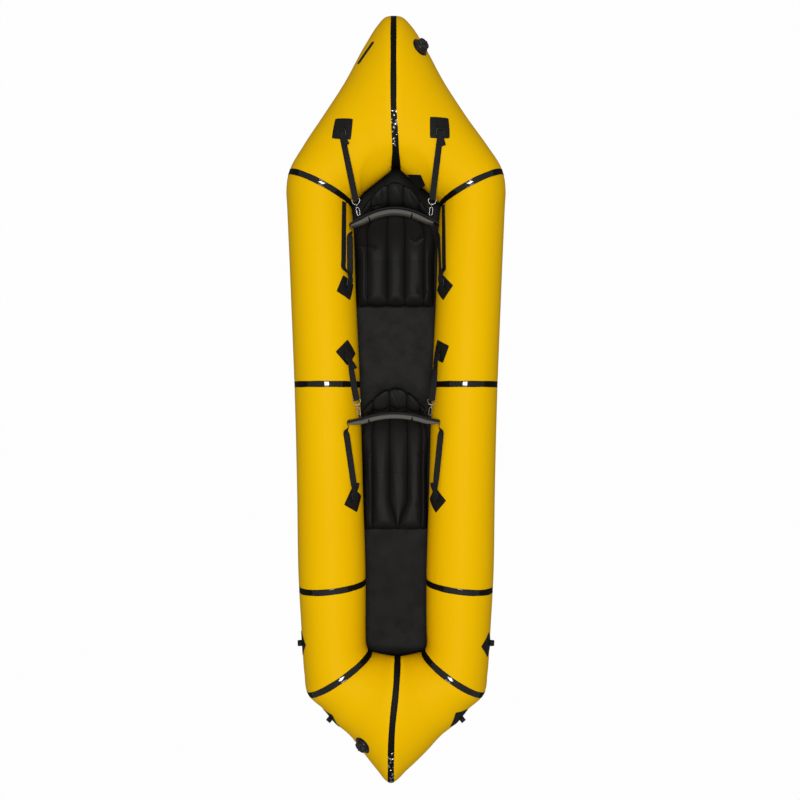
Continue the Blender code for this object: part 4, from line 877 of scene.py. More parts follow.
for valve_name, (place, across, out, side) in VALVES.items():
    x, z = Vector(across), Vector(out)
    stand = level(place, z.cross(x), z)

    def flange_place(up, over):
        flat = np.column_stack((up * np.cos(over), up * np.sin(over)))
        return landed(stand, flat, side, PATCH_LIFT)[0]

    name = f"{valve_name}_valve"
    radii, angles = np.linspace(*FLANGE_RADII, 6), np.linspace(0, 2 * math.pi, 73)
    flange = laid_grid(f"{name}_flange", radii, angles, flange_place, closed=True)
    thicken(flange, FLANGE_THICKNESS, 1)
    finish_piece(flange, "hull", plastic, f"{name}_body", sharp=40)
    collar = turned(f"{name}_collar", stand, COLLAR)
    finish_piece(collar, "hull", plastic, f"{name}_body", sharp=40)
    cap = turned(f"{name}_cover", stand, CAP, NOTCHES)
    finish_piece(cap, f"{name}_cap", plastic, f"{name}_cap", sharp=40)
    grip_line, section = moved(stand, GRIP_LINE), flat_section(*GRIP_SECTION)
    grip = swept(f"{name}_grip", grip_line, stand.col[1].to_3d(), section, 0.002)
    finish_piece(grip, f"{name}_cap", plastic, f"{name}_cap", sharp=50)


# Seats: each has a cushion on the floor and a back that folds, both blown up from two skins
# of black coated nylon welded together along their length, so that they swell into ribs.

# Each back's path is its height over its hinge against its distance aft, in millimetres
SEAT_X = -0.00456
SEATS = {
    "rear": {
        "half": 0.1680,
        "rear": 0.7121,
        "front": 0.3990,
        "welds": (-1.0, -0.700, -0.200, 0.250, 0.735, 1.0),
        "hinge": (-0.0046, 0.6370, 0.1181),
        "narrowing": 0.036,
        "path": ((0, 0), (60, 30), (115, 65), (143, 105), (147.5, 145), (158, 175), (185, 195), (215, 200)),
        "band_half": 0.1700,
        "band_y": 0.74417,
        "band_z": 0.2620,
        "sag": 0.05001,
        "ends": (-0.1740, 0.1700),
        "grey": (-0.1740, 0.1530),
        "strap_lean": {1: 0.72, -1: 0.10},
        "bend_start": 2,
    },
    "front": {
        "half": 0.1390,
        "rear": -0.1820,
        "front": -0.5590,
        "welds": (-1.0, -0.683, -0.165, 0.384, 0.810, 1.0),
        "hinge": (-0.0046, -0.2570, 0.1181),
        "narrowing": 0.014,
        "path": (
            (0, -24), (70, -23), (120, -17), (158, 3), (190, 44), (212, 88),
            (219.5, 125), (222, 155), (232, 185), (260, 205), (295, 210),
        ),
        "band_half": 0.1760,
        "band_y": -0.07807,
        "band_z": 0.2770,
        "sag": 0.02200,
        "ends": (-0.1850, 0.1760),
        "grey": (-0.1850, 0.1760),
        "strap_lean": {1: 0.25, -1: 0.0},
        "bend_start": 6,
    },
}
# Where the front cushion's welds run together in a pinch at its front edge
PINCHED_WELDS = (-1.0, -0.683, 0.020, 0.150, 0.810, 1.0)
PINCH_START = -0.415
PINCH_LENGTH = 0.115
# The UV maps' along values: a back's start far from a cushion's, and a tab's lie beyond them, so
# that the finish can paint shade near-black on a back's top edge and over the whole tab
BACK_MAP = 10
BACK_MAP_LENGTH = 0.18
PAINTED_SHADE_MAP = 10.1725
TAB_MAP = 11

seat_cloth = Finish("seat_fabric", (0.0098, 0.0096, 0.0093), 0.6, Specular_IOR_Level=0.13)
over, up, _ = seat_cloth.axes("UV")
seat_cloth.relief(seat_cloth.noise(16.0, 2.0, 0.5), 0.0006)
seat_cloth.relief(seat_cloth.wave(over, 0.015) * seat_cloth.wave(up, 0.0011), 0.00003)
bloom = seat_cloth.noise(11.0, 4.0)
seat_cloth.tint(bloom * 0.35, (0.0135, 0.0130, 0.0125))
# Painted shade: the seat cloth is tinted near-black and made rougher along the weld valleys, on the backs'
# top edges and over the whole tab
to_weld = over.maths("PINGPONG", over + 0.5, 0.5)
painted_seat_shade = over.maths("MAXIMUM", to_weld < 0.028, up > PAINTED_SHADE_MAP)
seat_cloth.tint(painted_seat_shade, (0.0012, 0.0011, 0.0010))
seat_cloth.feed("Roughness", 0.52 + bloom * 0.14 + painted_seat_shade * 0.3)


def rib_place(seat_name, share, y):
    """Where a place across the seat lies among its ribs: whole and a half values are welds."""
    welds = np.array(SEATS[seat_name]["welds"])
    edges = np.repeat(welds[None, :], len(share), axis=0)
    if seat_name == "front":
        pinch = smooth((PINCH_START - y) / PINCH_LENGTH)
        edges = edges + (np.array(PINCHED_WELDS) - welds) * pinch[:, None]
    k = np.clip((share[:, None] >= edges).sum(axis=1) - 1, 0, len(welds) - 2)
    rows = np.arange(len(share))
    low, high = edges[rows, k], edges[rows, k + 1]
    return k - 2.5 + (share - low) / (high - low)


def rib(place):
    """How far the skin swells, from 0 at a weld to 1 between two."""
    t = 2 * np.abs(place - np.rint(place))
    return 1 - t**2.8


def crease(x, y, line, depth, width):
    """A fold pressed along a short line, sharp on its right and fading slowly on its left."""
    (ax, ay), (bx, by) = line
    dx, dy = bx - ax, by - ay
    t = np.clip(((x - ax) * dx + (y - ay) * dy) / (dx * dx + dy * dy), 0, 1)
    away = np.hypot(x - ax - dx * t, y - ay - dy * t)
    left = dx * (y - ay) - dy * (x - ax) > 0
    fade = np.minimum(4 * t * (1 - t) + 0.25, 1)
    return -depth * fade * np.exp(-((away / np.where(left, width * 1.8, width * 0.8)) ** 2))


def pillow_edge(value, sharp):
    return np.maximum(0, 1 - np.abs(value) ** sharp) ** (1 / 2.2)


def closer(count, power=1.6):
    """Values from -1 to 1 that crowd towards both ends."""
    t = np.linspace(-1, 1, count)
    return np.sign(t) * (1 - (1 - np.abs(t)) ** power)


def padded_skin(name, overs, ups, face):
    """Closes two skins along their rim: face gives a place for over, up and which skin."""
    skins = []
    for which in (1, -1):
        skins.append(laid_grid(f"{name}_{which}", ups, overs, lambda up, over: face(over, up, which)))
    bpy.ops.object.select_all(action="DESELECT")
    for skin in skins:
        skin.select_set(True)
    bpy.context.view_layer.objects.active = skins[0]
    bpy.ops.object.join()
    piece = bpy.context.object
    piece.name = name
    merge(2e-5)
    bpy.ops.object.shade_smooth()
    return piece


# Folds in each cushion as plan lines, with their depth and width
CUSHION_FOLDS = {
    "rear": (
        (((-0.1222, 0.605), (-0.1222, 0.425)), -0.0040, 0.0022),
        (((0.085, 0.455), (0.140, 0.470)), 0.0070, 0.0130),
        (((-0.008, 0.418), (0.004, 0.402)), 0.0080, 0.0070),
    ),
    "front": (
        (((0.002, -0.535), (0.010, -0.556)), 0.0080, 0.0060),
        (((0.022, -0.540), (0.046, -0.553)), 0.0060, 0.0050),
        (((-0.114, -0.500), (-0.118, -0.330)), 0.0040, 0.0050),
        (((0.080, -0.455), (0.118, -0.445)), 0.0025, 0.0080),
    ),
}
CUSHION_CROWN = 0.0970
CUSHION_VALLEY = 0.0760
CUSHION_SIDE = 0.0400
RIM_HEIGHT = 0.0330
CUSHION_BASE = 0.0018
CROWN_LIMIT = CUSHION_CROWN + 0.001
CORNER_ROUND = 0.025
END_SHARPNESS = 9.0
SIDE_SHARPNESS = 12.0
OUTER_SWELL = 0.40
DRAPE = 0.0006
END_ROLL = (0.018, 0.034)
OUTER_WELD = 1.5


def outward(ribs, inner, outer):
    """A value that is the same up to the outer welds and changes from there to the rim."""
    return inner + (outer - inner) * np.clip(np.abs(ribs) - OUTER_WELD, 0, 1)


def cushion_top(seat_name, over, y):
    """The height of a cushion's upper skin over a place in plan."""
    seat = SEATS[seat_name]
    ribs = rib_place(seat_name, over, y)
    swell = rib(ribs)
    x = SEAT_X + over * seat["half"]
    roll = END_ROLL[0] + END_ROLL[1] * swell
    end = np.clip((y - seat["front"] - 0.004 * (1 - swell)) / roll, 0, 1)
    from_front = (y - seat["front"]) / (seat["rear"] - seat["front"])
    full = np.sqrt(1 - (1 - end) ** 2) * pillow_edge(from_front, END_SHARPNESS)
    base = outward(ribs, CUSHION_VALLEY, CUSHION_SIDE)
    height = base + (CUSHION_CROWN - base) * swell * outward(ribs, 1.0, OUTER_SWELL)
    folds = sum(crease(x, y, line, depth, width) for line, depth, width in CUSHION_FOLDS[seat_name])
    drape = DRAPE * np.sin(y * 37 + over * 6 + 2 * np.sin(over * 9)) * np.sin(over * 13 + y * 7)
    rise = (height - RIM_HEIGHT + folds + drape) * full * pillow_edge(over, SIDE_SHARPNESS)
    return RIM_HEIGHT + rise, full


for seat_name, seat in SEATS.items():

    def along(up):
        return (seat["rear"] + seat["front"]) / 2 + up * (seat["rear"] - seat["front"]) / 2

    def cushion_face(over, up, which):
        y = along(up)
        x = SEAT_X + over * seat["half"] * (1 - CORNER_ROUND * np.abs(up) ** 10)
        top, full = cushion_top(seat_name, over, y)
        belly = np.minimum(full * pillow_edge(over, SIDE_SHARPNESS) * 1.6, 1) ** 0.8
        low = RIM_HEIGHT - (RIM_HEIGHT - CUSHION_BASE) * belly
        return np.column_stack((x, y, np.minimum(top, CROWN_LIMIT) if which == 1 else low))

    cushion = padded_skin(f"{seat_name}_cushion", closer(161, 1.3), closer(181), cushion_face)
    lay_uv(cushion, lambda over, up: (rib_place(seat_name, over, along(up)), along(up)))
    finish_piece(cushion, "hull", seat_cloth, f"{seat_name}_seat_cushion")


# Backs: blown up like the cushions. Each foot runs out thin on its cushion, so that the ribs go
# on without a step, and the top hangs free behind the band in loose folds.
BACK_CROWN = 0.0415
BACK_VALLEY = 0.0140
BACK_SIDE = 0.0090
BACK_ROUND = 0.020
BACK_ARCH = 0.072
BACK_SHARPNESS = 16.0
BACK_THINNING = 0.3
WELD_PULL = 0.010
BEND_RISE = 0.1104
FOOT_REACH = 0.118
FOOT_AHEAD = 0.052
FOOT_THIN_REACH = 0.16
FOOT_GAP = 0.0006
FOOT_HALF = 0.0005
# Where a back narrows and where its crumples start, in shares of its length
NARROW_START = 0.25
CRUMPLE_START = 0.62
CRUMPLE = 0.0034
BACK_BLEND = ((0, -0.045, -0.015), (0, 0.045, 0.020))
BAND_RISE = 0.0110
BAND_RISE_HALF = 0.130
# Folds in each back: from one place across and up the skin to another, with depth and width
BACK_FOLDS = {
    "rear": (
        (((-0.148, 0.046), (-0.074, 0.036)), 0.0075, 0.0045),
        (((0.062, 0.066), (0.086, 0.054)), 0.0050, 0.0040),
        (((0.086, 0.054), (0.122, 0.070)), 0.0065, 0.0045),
        (((-0.048, 0.330), (-0.046, 0.245)), 0.0060, 0.0060),
        (((0.050, 0.310), (0.058, 0.250)), 0.0040, 0.0080),
        (((-0.120, 0.225), (-0.050, 0.232)), 0.0050, 0.0050),
    ),
    "front": (
        (((-0.140, 0.050), (-0.094, 0.053)), 0.0070, 0.0045),
        (((0.100, 0.050), (0.140, 0.049)), 0.0070, 0.0045),
        (((-0.095, 0.258), (0.000, 0.315)), 0.0110, 0.0080),
        (((0.000, 0.325), (0.090, 0.262)), 0.0090, 0.0090),
        (((-0.040, 0.280), (0.004, 0.345)), 0.0090, 0.0060),
        (((0.030, 0.345), (0.020, 0.280)), 0.0080, 0.0060),
        (((-0.060, 0.250), (0.060, 0.252)), 0.0070, 0.0070),
    ),
}


def eased(path, passes=3):
    for _ in range(passes):
        cut = [path[0]]
        for a, b in zip(path, path[1:]):
            cut += [a + (b - a) * 0.25, a + (b - a) * 0.75]
        path = cut + [path[-1]]
    return np.array(path)


def band_curve(seat, x):
    """How far aft a band stands at a place across the seat."""
    lift = BAND_RISE * np.maximum(0, 1 - (x / BAND_RISE_HALF) ** 2)
    return lift - seat["sag"] * (x / seat["band_half"]) ** 2


for seat_name, seat in SEATS.items():
    path = eased([np.array(p) / 1000 for p in seat["path"]])
    lengths = np.concatenate(((0.0,), np.cumsum(np.linalg.norm(np.diff(path, axis=0), axis=1))))
    ways = np.gradient(path, lengths, axis=0)
    _, hinge_y, hinge_z = seat["hinge"]

    def back_face(over, up, which):
        ribs = rib_place(seat_name, over, np.zeros(len(over)))
        swell = rib(ribs)
        length = lengths[-1] - BACK_ARCH * over**2 - WELD_PULL * (1 - swell) ** 2
        reach = (up + 1) / 2 * length
        place = np.column_stack([np.interp(reach, lengths, path[:, k]) for k in (0, 1)])
        way = np.column_stack([np.interp(reach, lengths, ways[:, k]) for k in (0, 1)])
        way /= np.linalg.norm(way, axis=1)[:, None]
        base = outward(ribs, BACK_VALLEY, BACK_SIDE)
        near = np.clip((length - reach) / BACK_ROUND, 0, 1)
        edge = np.sqrt(1 - (1 - near) ** 2) * pillow_edge(over, BACK_SHARPNESS)
        thick = (base + (BACK_CROWN - base) * swell) * (1 - BACK_THINNING * reach / length)
        thick = thick * (0.5 + 0.5 * np.clip(reach / FOOT_THIN_REACH, 0, 1))
        x = over * (seat["half"] - seat["narrowing"] * smooth((reach / length - NARROW_START) / 0.3))
        upper = np.clip((reach / length - CRUMPLE_START) / 0.3, 0, 1)
        crumple = CRUMPLE * upper * np.sin(reach * 58 + over * 7 + 2.2 * np.sin(over * 6 + reach * 15))
        crumple = crumple * np.sin(over * 8 + reach * 21 + 1)
        folds = sum(crease(x, reach, line, depth, width) for line, depth, width in BACK_FOLDS[seat_name])
        folds = folds * (0.5 + 0.5 * which)
        bend = band_curve(seat, x) * np.clip(place[:, 1] / BEND_RISE, 0, 1) ** 2
        shift = which * thick / 2 * edge + (crumple + folds) * edge
        y = hinge_y + place[:, 0] - way[:, 1] * shift + bend
        z = hinge_z + place[:, 1] + way[:, 0] * shift
        flat_y = hinge_y - FOOT_AHEAD + reach
        lift = FOOT_GAP + FOOT_HALF * which * np.minimum(reach / 0.01, 1)
        flat_z = cushion_top(seat_name, over, flat_y)[0] + lift + folds * np.minimum(reach / 0.02, 1)
        risen = smooth(reach / FOOT_REACH)
        return np.column_stack((SEAT_X + x, flat_y + (y - flat_y) * risen, flat_z + (z - flat_z) * risen))

    def back_map(over, up):
        along = BACK_MAP + up * BACK_MAP_LENGTH
        return rib_place(seat_name, over, along), along

    back = padded_skin(f"{seat_name}_back_cushion", closer(161, 1.3), closer(221, 1.2), back_face)
    lay_uv(back, back_map)
    finish_piece(back, None, seat_cloth, f"{seat_name}_backrest")
    low, high = (Vector(seat["hinge"]) + Vector(way) for way in BACK_BLEND)
    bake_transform(back)


# Tab: a narrow-necked flap of black fabric sewn to the top of the rear back, which lies out over
# the stern tube.
TAB_WIDTH = 0.05
TAB_ROW_LENGTH = 0.025
TAB_THICKNESS = 0.0012
# From where it is sewn to its end: left edge x and y, right edge x and y, and height
TAB_ROWS = np.array(
    (
        (0.0700, 0.8030, 0.0900, 0.8010, 0.3120),
        (0.0690, 0.8400, 0.0890, 0.8340, 0.3180),
        (0.0725, 0.8500, 0.1090, 0.8440, 0.3170),
        (0.0736, 0.8551, 0.1173, 0.8491, 0.3160),
        (0.0449, 0.8948, 0.0994, 0.8936, 0.3080),
    )
)


def tab_place(up, over):
    row = np.column_stack([np.interp(up, range(len(TAB_ROWS)), TAB_ROWS[:, k]) for k in range(5)])
    plan = row[:, 0:2] * (1 - over[:, None]) + row[:, 2:4] * over[:, None]
    curl = 0.0022 * np.sin(up * 1.7 + over * 2.6) - 0.004 * (over - 0.5) ** 2
    return np.column_stack((plan, row[:, 4] + curl))


tab = laid_grid("rear_tab", np.linspace(0, len(TAB_ROWS) - 1, 61), np.linspace(0, 1, 31), tab_place)
# The tab's along values lie where the seat finish paints shade, so the whole tab is painted near-black as
# shade
lay_uv(tab, lambda over, up: (over * TAB_WIDTH, TAB_MAP + up * TAB_ROW_LENGTH))
thicken(tab, TAB_THICKNESS, 0)
finish_piece(tab, "rear_back", seat_cloth, "rear_backrest", sharp=50)


# Bands: a curved strip of firm foam covered in grey cloth across the front of each back, in
# three sewn lengths, with a black fabric backing bound along its edges.
BAND_THICKNESS = 0.020
BAND_HEIGHT = 0.050
BACKING_THICKNESS = 0.006
BACKING_HEIGHT = 0.054
SKIN_GAP = 0.0003
BAND_SEAMS = (-0.104, 0.070)
BAND_TAPERS = ((0.075, 0.004), (0.004, 0.004), (0.004, 0.075))
SEAM_INSET = 0.0006
BINDING_INSET = 0.0012
BINDING_SECTION = (0.0026, 0.0066, 2.2, 14)

foam = Finish("band_foam", (0.112, 0.107, 0.098), 0.85, Specular_IOR_Level=0.1)
_, up, _ = foam.axes("UV")
fibre = foam.noise(300.0, 4.0, 0.6)
foam.tint(fibre * 0.5, (0.145, 0.140, 0.130))
foam.tint(foam.noise(25.0, 3.0) * 0.3, (0.075, 0.071, 0.065))
foam.relief(fibre, 0.0005)
foam.relief(foam.wave(up, 0.0052), 0.0003)


def soft_section(width, height, power=3.2, count=28):
    """A rounded bar: width is across the strap's width direction, height square to it."""

    def bulged(value):
        return math.copysign(abs(value) ** (2 / power), value)

    angles = [2 * math.pi * (k + 0.5) / count for k in range(count)]
    return [(width / 2 * bulged(math.cos(a)), height / 2 * bulged(math.sin(a))) for a in angles]


def band_line(seat, offset, start, end, spans=14):
    """Points along a seat's band in plan, moved aft by offset."""
    points = []
    for k in range(spans + 1):
        x = start + (end - start) * k / spans
        slope = (band_curve(seat, x + 1e-3) - band_curve(seat, x - 1e-3)) / 2e-3
        out = Vector((-slope, 1, 0)).normalized()
        on_line = Vector((SEAT_X + x, seat["band_y"] + band_curve(seat, x), seat["band_z"]))
        points.append(on_line + out * offset)
    return points


UP = Vector((0, 0, 1))
for seat_name, seat in SEATS.items():
    body, backing_node = f"{seat_name}_back", f"{seat_name}_band_backing"
    stops = [seat["grey"][0], *BAND_SEAMS, seat["grey"][1]]
    section = soft_section(BAND_HEIGHT, BAND_THICKNESS)
    for k, (start, end) in enumerate(zip(stops, stops[1:])):
        line = band_line(seat, 0, start + SEAM_INSET, end - SEAM_INSET)
        length = swept(f"{seat_name}_band_{k + 1}", line, UP, section, taper=BAND_TAPERS[k])
        finish_piece(length, body, foam, f"{seat_name}_back_band", sharp=50)
    line = band_line(seat, BAND_THICKNESS / 2 + SKIN_GAP + BACKING_THICKNESS / 2, *seat["ends"], 24)
    backing = swept(f"{seat_name}_backing", line, UP, soft_section(BACKING_HEIGHT, BACKING_THICKNESS, 5.0))
    finish_piece(backing, body, patch_cloth, backing_node, sharp=50, slot="seat_fabric")
    for edge_name, way in (("top", 1), ("bottom", -1)):
        bound = [p + UP * way * (BACKING_HEIGHT / 2 - BINDING_INSET) for p in line]
        trim = swept(f"{seat_name}_binding_{edge_name}", bound, UP, soft_section(*BINDING_SECTION))
        finish_piece(trim, body, webbing, backing_node, sharp=60)


# Ladder-lock buckles: moulded black frames with two slots. The near bar turns in a loop sewn
# to the patch, and the strap goes round the middle bar.
BUCKLE_LENGTH = 0.0258
BAR_SHIFT = 0.008
BAR_RISE = 0.0105
BUCKLE_X = (-0.0165, -0.0135, 0.0135, 0.0165)
BUCKLE_Y = (-0.0023, 0.0023, 0.0093, 0.0133, 0.0203, 0.0258)
LOOP_PATH = (
    (0.1783, 0.0000), (0.1279, 0.1085), (0.0000, 0.1512), (-0.1938, 0.1085), (-0.3876, -0.0581),
    (-0.5426, -0.1938), (-0.8527, -0.2674), (-0.8876, -0.3004), (-0.8527, -0.3333),
    (0.0000, -0.3333), (0.1395, -0.1938),
)
BUCKLE_LIFTS = (0.0002, 0.0004, 0.0, -0.0002, 0.0, 0.0011)
BUCKLE_THICKNESS = 0.0036
BUCKLE_ROUNDING = 0.0011
BUCKLE_NOSE = 0.93
LOOP_WEBBING = (0.0245, 0.0012)
# The fore strap behind the band: how far it lies under the band's middle and off its backing,
# how far it stands off the band's end, and the way it leaves there
SLING_DROP = 0.012
SLING_LIFT = 0.0006
SLING_TURN = 0.003
SLING_LEAVE = (0.009, -0.015, -0.001)

# Metal fittings between each aft strap and its seat: where each hook hangs in its loop
HOOK_LENGTH = 0.0325
EYE_OFFSET = 0.0075
EYE_RADIUS = 0.0065
EYE_WIRE = 0.0012
WIRE = 0.0013
D_DEPTH = 0.020
CATCHES = {
    ("rear", 1): ((0.1387, 0.7394, 0.2760), (0.1381, 0.7337, 0.2760)),
    ("rear", -1): ((-0.1491, 0.7392, 0.2760), (-0.1480, 0.7335, 0.2760)),
    ("front", 1): ((0.1360, -0.0630, 0.2910), (0.1352, -0.0687, 0.2910)),
    ("front", -1): ((-0.1459, -0.0631, 0.2910), (-0.1449, -0.0688, 0.2910)),
}


def bar_place(key):
    place, out = ANCHORS[key][:2]
    toward = -1 if key[1] == "aft" else 1
    return level(place, (0, toward, 0), out) @ Vector((0, BAR_SHIFT, BAR_RISE))


def hook_frame(seat_name, side):
    catch = Vector(CATCHES[seat_name, side][0])
    return ahead(catch, bar_place((seat_name, "aft", side)) - catch, UP)


def ring_frame(seat_name, side):
    inside = EYE_RADIUS - EYE_WIRE - WIRE - SKIN_GAP
    return hook_frame(seat_name, side) @ Matrix.Translation((0, HOOK_LENGTH + EYE_OFFSET + inside, 0))


def band_end(seat, side):
    """Where the webbing behind a band turns round its end: out behind it, and in front."""
    end = seat["ends"][0 if side < 0 else 1]
    slope = (band_curve(seat, end + 1e-3) - band_curve(seat, end - 1e-3)) / 2e-3
    tangent = Vector((side, slope * side, 0)).normalized()
    normal = Vector((-slope, 1, 0)).normalized()
    tip = band_line(seat, 0, end, end, 1)[0] - UP * SLING_DROP
    off = SKIN_GAP * 4 + SLING_LIFT
    behind = BAND_THICKNESS / 2 + BACKING_THICKNESS + SKIN_GAP * 2 + SLING_LIFT
    turn_out = tip + tangent * off + normal * (behind - off)
    turn_in = tip + tangent * (off + SLING_TURN) - normal * (BAND_THICKNESS / 2)
    return turn_out, turn_in, turn_in + Vector(np.multiply(SLING_LEAVE, (side, 1, 1)))


def strap_goal(key):
    seat_name, end, side = key
    if end == "aft":
        return ring_frame(seat_name, side) @ Vector((0, D_DEPTH, 0))
    return band_end(SEATS[seat_name], side)[2]


bpy.ops.mesh.primitive_grid_add(x_subdivisions=3, y_subdivisions=5, size=2)
lock = bpy.context.object
lock.name = "ladder_lock"
for vertex in lock.data.vertices:
    i = round((vertex.co.x + 1) / 2 * 3)
    j = round((vertex.co.y + 1) / 2 * 5)
    vertex.co = (BUCKLE_X[i] * (1 if j < 5 else BUCKLE_NOSE), BUCKLE_Y[j], BUCKLE_LIFTS[j])
mesh = bmesh.new()
mesh.from_mesh(lock.data)
slots = []
for face in mesh.faces:
    at = face.calc_center_median()
    between = BUCKLE_Y[1] < at.y < BUCKLE_Y[2] or BUCKLE_Y[3] < at.y < BUCKLE_Y[4]
    if BUCKLE_X[1] < at.x < BUCKLE_X[2] and between:
        slots.append(face)
bmesh.ops.delete(mesh, geom=slots, context="FACES")
mesh.to_mesh(lock.data)
mesh.free()
thicken(lock, BUCKLE_THICKNESS, 0)
rounding = lock.modifiers.new("rounding", "BEVEL")
rounding.width = BUCKLE_ROUNDING
rounding.segments = 3
lock.select_set(True)
bpy.context.view_layer.objects.active = lock
for modifier in list(lock.modifiers):
    bpy.ops.object.modifier_apply(modifier=modifier.name)
lock_mesh = lock.data

for key, (place, out, *_) in ANCHORS.items():
    seat_name, end, side = key
    name = f"{seat_name}_{end}_{SIDE_NAMES[side]}"
    bar, goal = bar_place(key), strap_goal(key)
    turned_frame = ahead(bar, goal - bar, Vector(out))
    buckle = bpy.data.objects.new(f"{name}_ladder_lock", lock_mesh.copy())
    scene.collection.objects.link(buckle)
    buckle.data.transform(turned_frame)
    bpy.context.view_layer.objects.active = buckle
    buckle.data.shade_smooth()
    finish_piece(buckle, f"{name}_buckle", plastic, f"{name}_buckle", sharp=35)
    flat = level(bar, goal - bar, out)
    line = moved(flat, [(0, y * BUCKLE_LENGTH, z * BUCKLE_LENGTH) for y, z in LOOP_PATH])
    section = flat_section(*LOOP_WEBBING)
    loop = swept(f"{name}_loop", line, flat.col[0].to_3d(), section, 0.0015, closed=True)
    finish_piece(loop, "hull", webbing, f"{name}_patch", sharp=60)
bpy.data.objects.remove(lock)


# Straps: 25 mm black webbing, threaded through its ladder-lock with a loose end. The aft ones
# go round a D-ring; the fore ones are one length that runs behind the band.

# A strap's way through its buckle, along it and up, in shares of the buckle's length
THREAD = (
    (0.3876, 0.2016), (0.2674, 0.1705), (0.2442, 0.0930), (0.2558, 0.0000), (0.2791, -0.0853),
    (0.3605, -0.1202), (0.5155, -0.1202), (0.5969, -0.0853), (0.6434, 0.0000), (0.6977, 0.0853),
    (0.7868, 0.1163), (1.1628, 0.1202),
)
# Its way round the D-ring's bar, in shares of the ring's depth
STRAP_END = (
    (-2.2500, 0.0450), (-1.2500, 0.0450), (-0.5000, 0.1100), (-0.1000, 0.1400), (0.0600, 0.1250),
    (0.1400, 0.0000), (0.0600, -0.1250), (-0.1000, -0.1400), (-0.5000, -0.1100),
    (-1.2500, -0.0450), (-1.9000, -0.0450),
)
SHORT_TAIL = ((0.0000, 1.1628, 0.2248), (0.2600, 1.6500, 0.3200), (0.5600, 2.4000, 0.3600))
LONG_TAIL_START = ((0.0000, 1.0078, 0.2287), (0.1800, 1.3500, 0.2600), (0.4200, 1.8000, 0.2200))
TAIL_LIFT = 0.0019
# The two long loose ends that lie along the tube: plan places from the buckle to the stern
LONG_TAILS = {
    ("rear", 1): ((0.1975, 0.5350), (0.1965, 0.8000)),
    ("rear", -1): ((-0.2135, 0.5350), (-0.2125, 0.8060)),
}


def loose_end(key, lock_frame):
    """The free end of a strap, from its buckle outwards, and its width directions."""
    seat_name, end, side = key
    out = 1 if (end, side) == ("aft", 1) or (seat_name, end) == ("rear", "fore") else -1
    way = out if lock_frame.col[0].x * side > 0 else -out
    shares = LONG_TAIL_START if end == "fore" and (seat_name, side) in LONG_TAILS else SHORT_TAIL
    points = list(moved(lock_frame, np.array([(x * way, y, z) for x, y, z in shares]) * BUCKLE_LENGTH))
    sides = [lock_frame.col[0].to_3d()] * len(points)
    if shares is LONG_TAIL_START:
        (ax, ay), (bx, by) = LONG_TAILS[seat_name, side]
        for k in range(10):
            x, y = ax + (bx - ax) * k / 9, ay + (by - ay) * k / 9
            above = level((x, y, 0.25), (0, 1, 0), UP)
            spot, out = landed(above, np.zeros((1, 2)), side, TAIL_LIFT)
            points.append(spot[0])
            sides.append(Vector((0, 1, 0)).cross(Vector(out[0])).normalized())
    for k, side_way in enumerate(sides):
        if side_way.dot(sides[0]) < 0:
            sides[k] = -side_way
    return points, sides


def threaded(key):
    """The strap's frame at its buckle, and its path from the loose end through the buckle."""
    bar, goal = bar_place(key), strap_goal(key)
    lock_frame = ahead(bar, goal - bar, Vector(ANCHORS[key][1]))
    tail, sides = loose_end(key, lock_frame)
    thread = list(moved(lock_frame, np.array([(0, y, z) for y, z in THREAD]) * BUCKLE_LENGTH))
    return lock_frame, tail[::-1] + thread, sides[::-1] + [lock_frame.col[0].to_3d()] * len(thread)


def strap_length(name, points, sides, node, *across):
    """One length of a strap, on one body, or on no body when it runs from one body to another between two
    places; those bodies and places are not used.
    """
    piece = swept(name, points, sides, STRAP_SECTION)
    finish_piece(piece, across[0] if len(across) == 1 else None, webbing, node, sharp=60)
    if len(across) > 1:
        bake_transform(piece)


def free_end(key, name, node, lock_frame, points, sides):
    """The length of a strap from its loose end until it has left the buckle."""
    seat_name, end, side = key
    across = [f"{seat_name}_{end}_{SIDE_NAMES[side]}_buckle"]
    if end == "fore" and (seat_name, side) in LONG_TAILS:
        across += ["hull", *(lock_frame @ Vector((0, BUCKLE_LENGTH * share, 0)) for share in (1.2, 4.0))]
    strap_length(name, points, sides, node, *across)


# Each aft strap is made in lengths that each cross one joint and meet end to end; each such length is left on
# no body.
# The front ones are short, and their loose end lies on them
STRAP_SPANS = 12
SLING_BLEND_END = 0.07
for seat_name, seat in SEATS.items():
    for side_name, side in SIDES:
        key = (seat_name, "aft", side)
        node, name = f"{seat_name}_aft_strap_{side_name}", f"{seat_name}_aft_webbing_{side_name}"
        lock_frame, points, sides = threaded(key)
        free_end(key, f"{name}_end", node, lock_frame, points, sides)
        ring, goal = ring_frame(seat_name, side), strap_goal(key)
        far = ahead(goal, goal - bar_place(key), ring.col[2].to_3d())
        wrap = list(moved(far, np.array([(0, y, z) for y, z in STRAP_END]) * D_DEPTH))
        last, first = Vector(points[-1]), Vector(wrap[0])
        buckle_side, far_side = lock_frame.col[0].to_3d(), far.col[0].to_3d()
        shares = [k / STRAP_SPANS for k in range(STRAP_SPANS + 1)]
        span = [last.lerp(first, share) for share in shares]
        ways = [buckle_side.lerp(far_side, share).normalized() for share in shares]
        bodies = [f"{seat_name}_aft_{side_name}_buckle", "hull", f"{seat_name}_back"]
        bodies += [f"{seat_name}_hook_{side_name}", f"{seat_name}_d_ring_{side_name}"]
        lengths = ((0, 2, 0), (2, 10, seat["bend_start"]), (10, 11, 10), (11, 12, 11))
        for k, (start, end, bend) in enumerate(lengths):
            more = wrap[1:] if end == STRAP_SPANS else []
            line = span[start : end + 1] + more
            widths = ways[start : end + 1] + [far_side] * len(more)
            across = bodies[k], bodies[k + 1], span[bend], span[end]
            strap_length(f"{name}_{k + 1}", line, widths, node, *across)


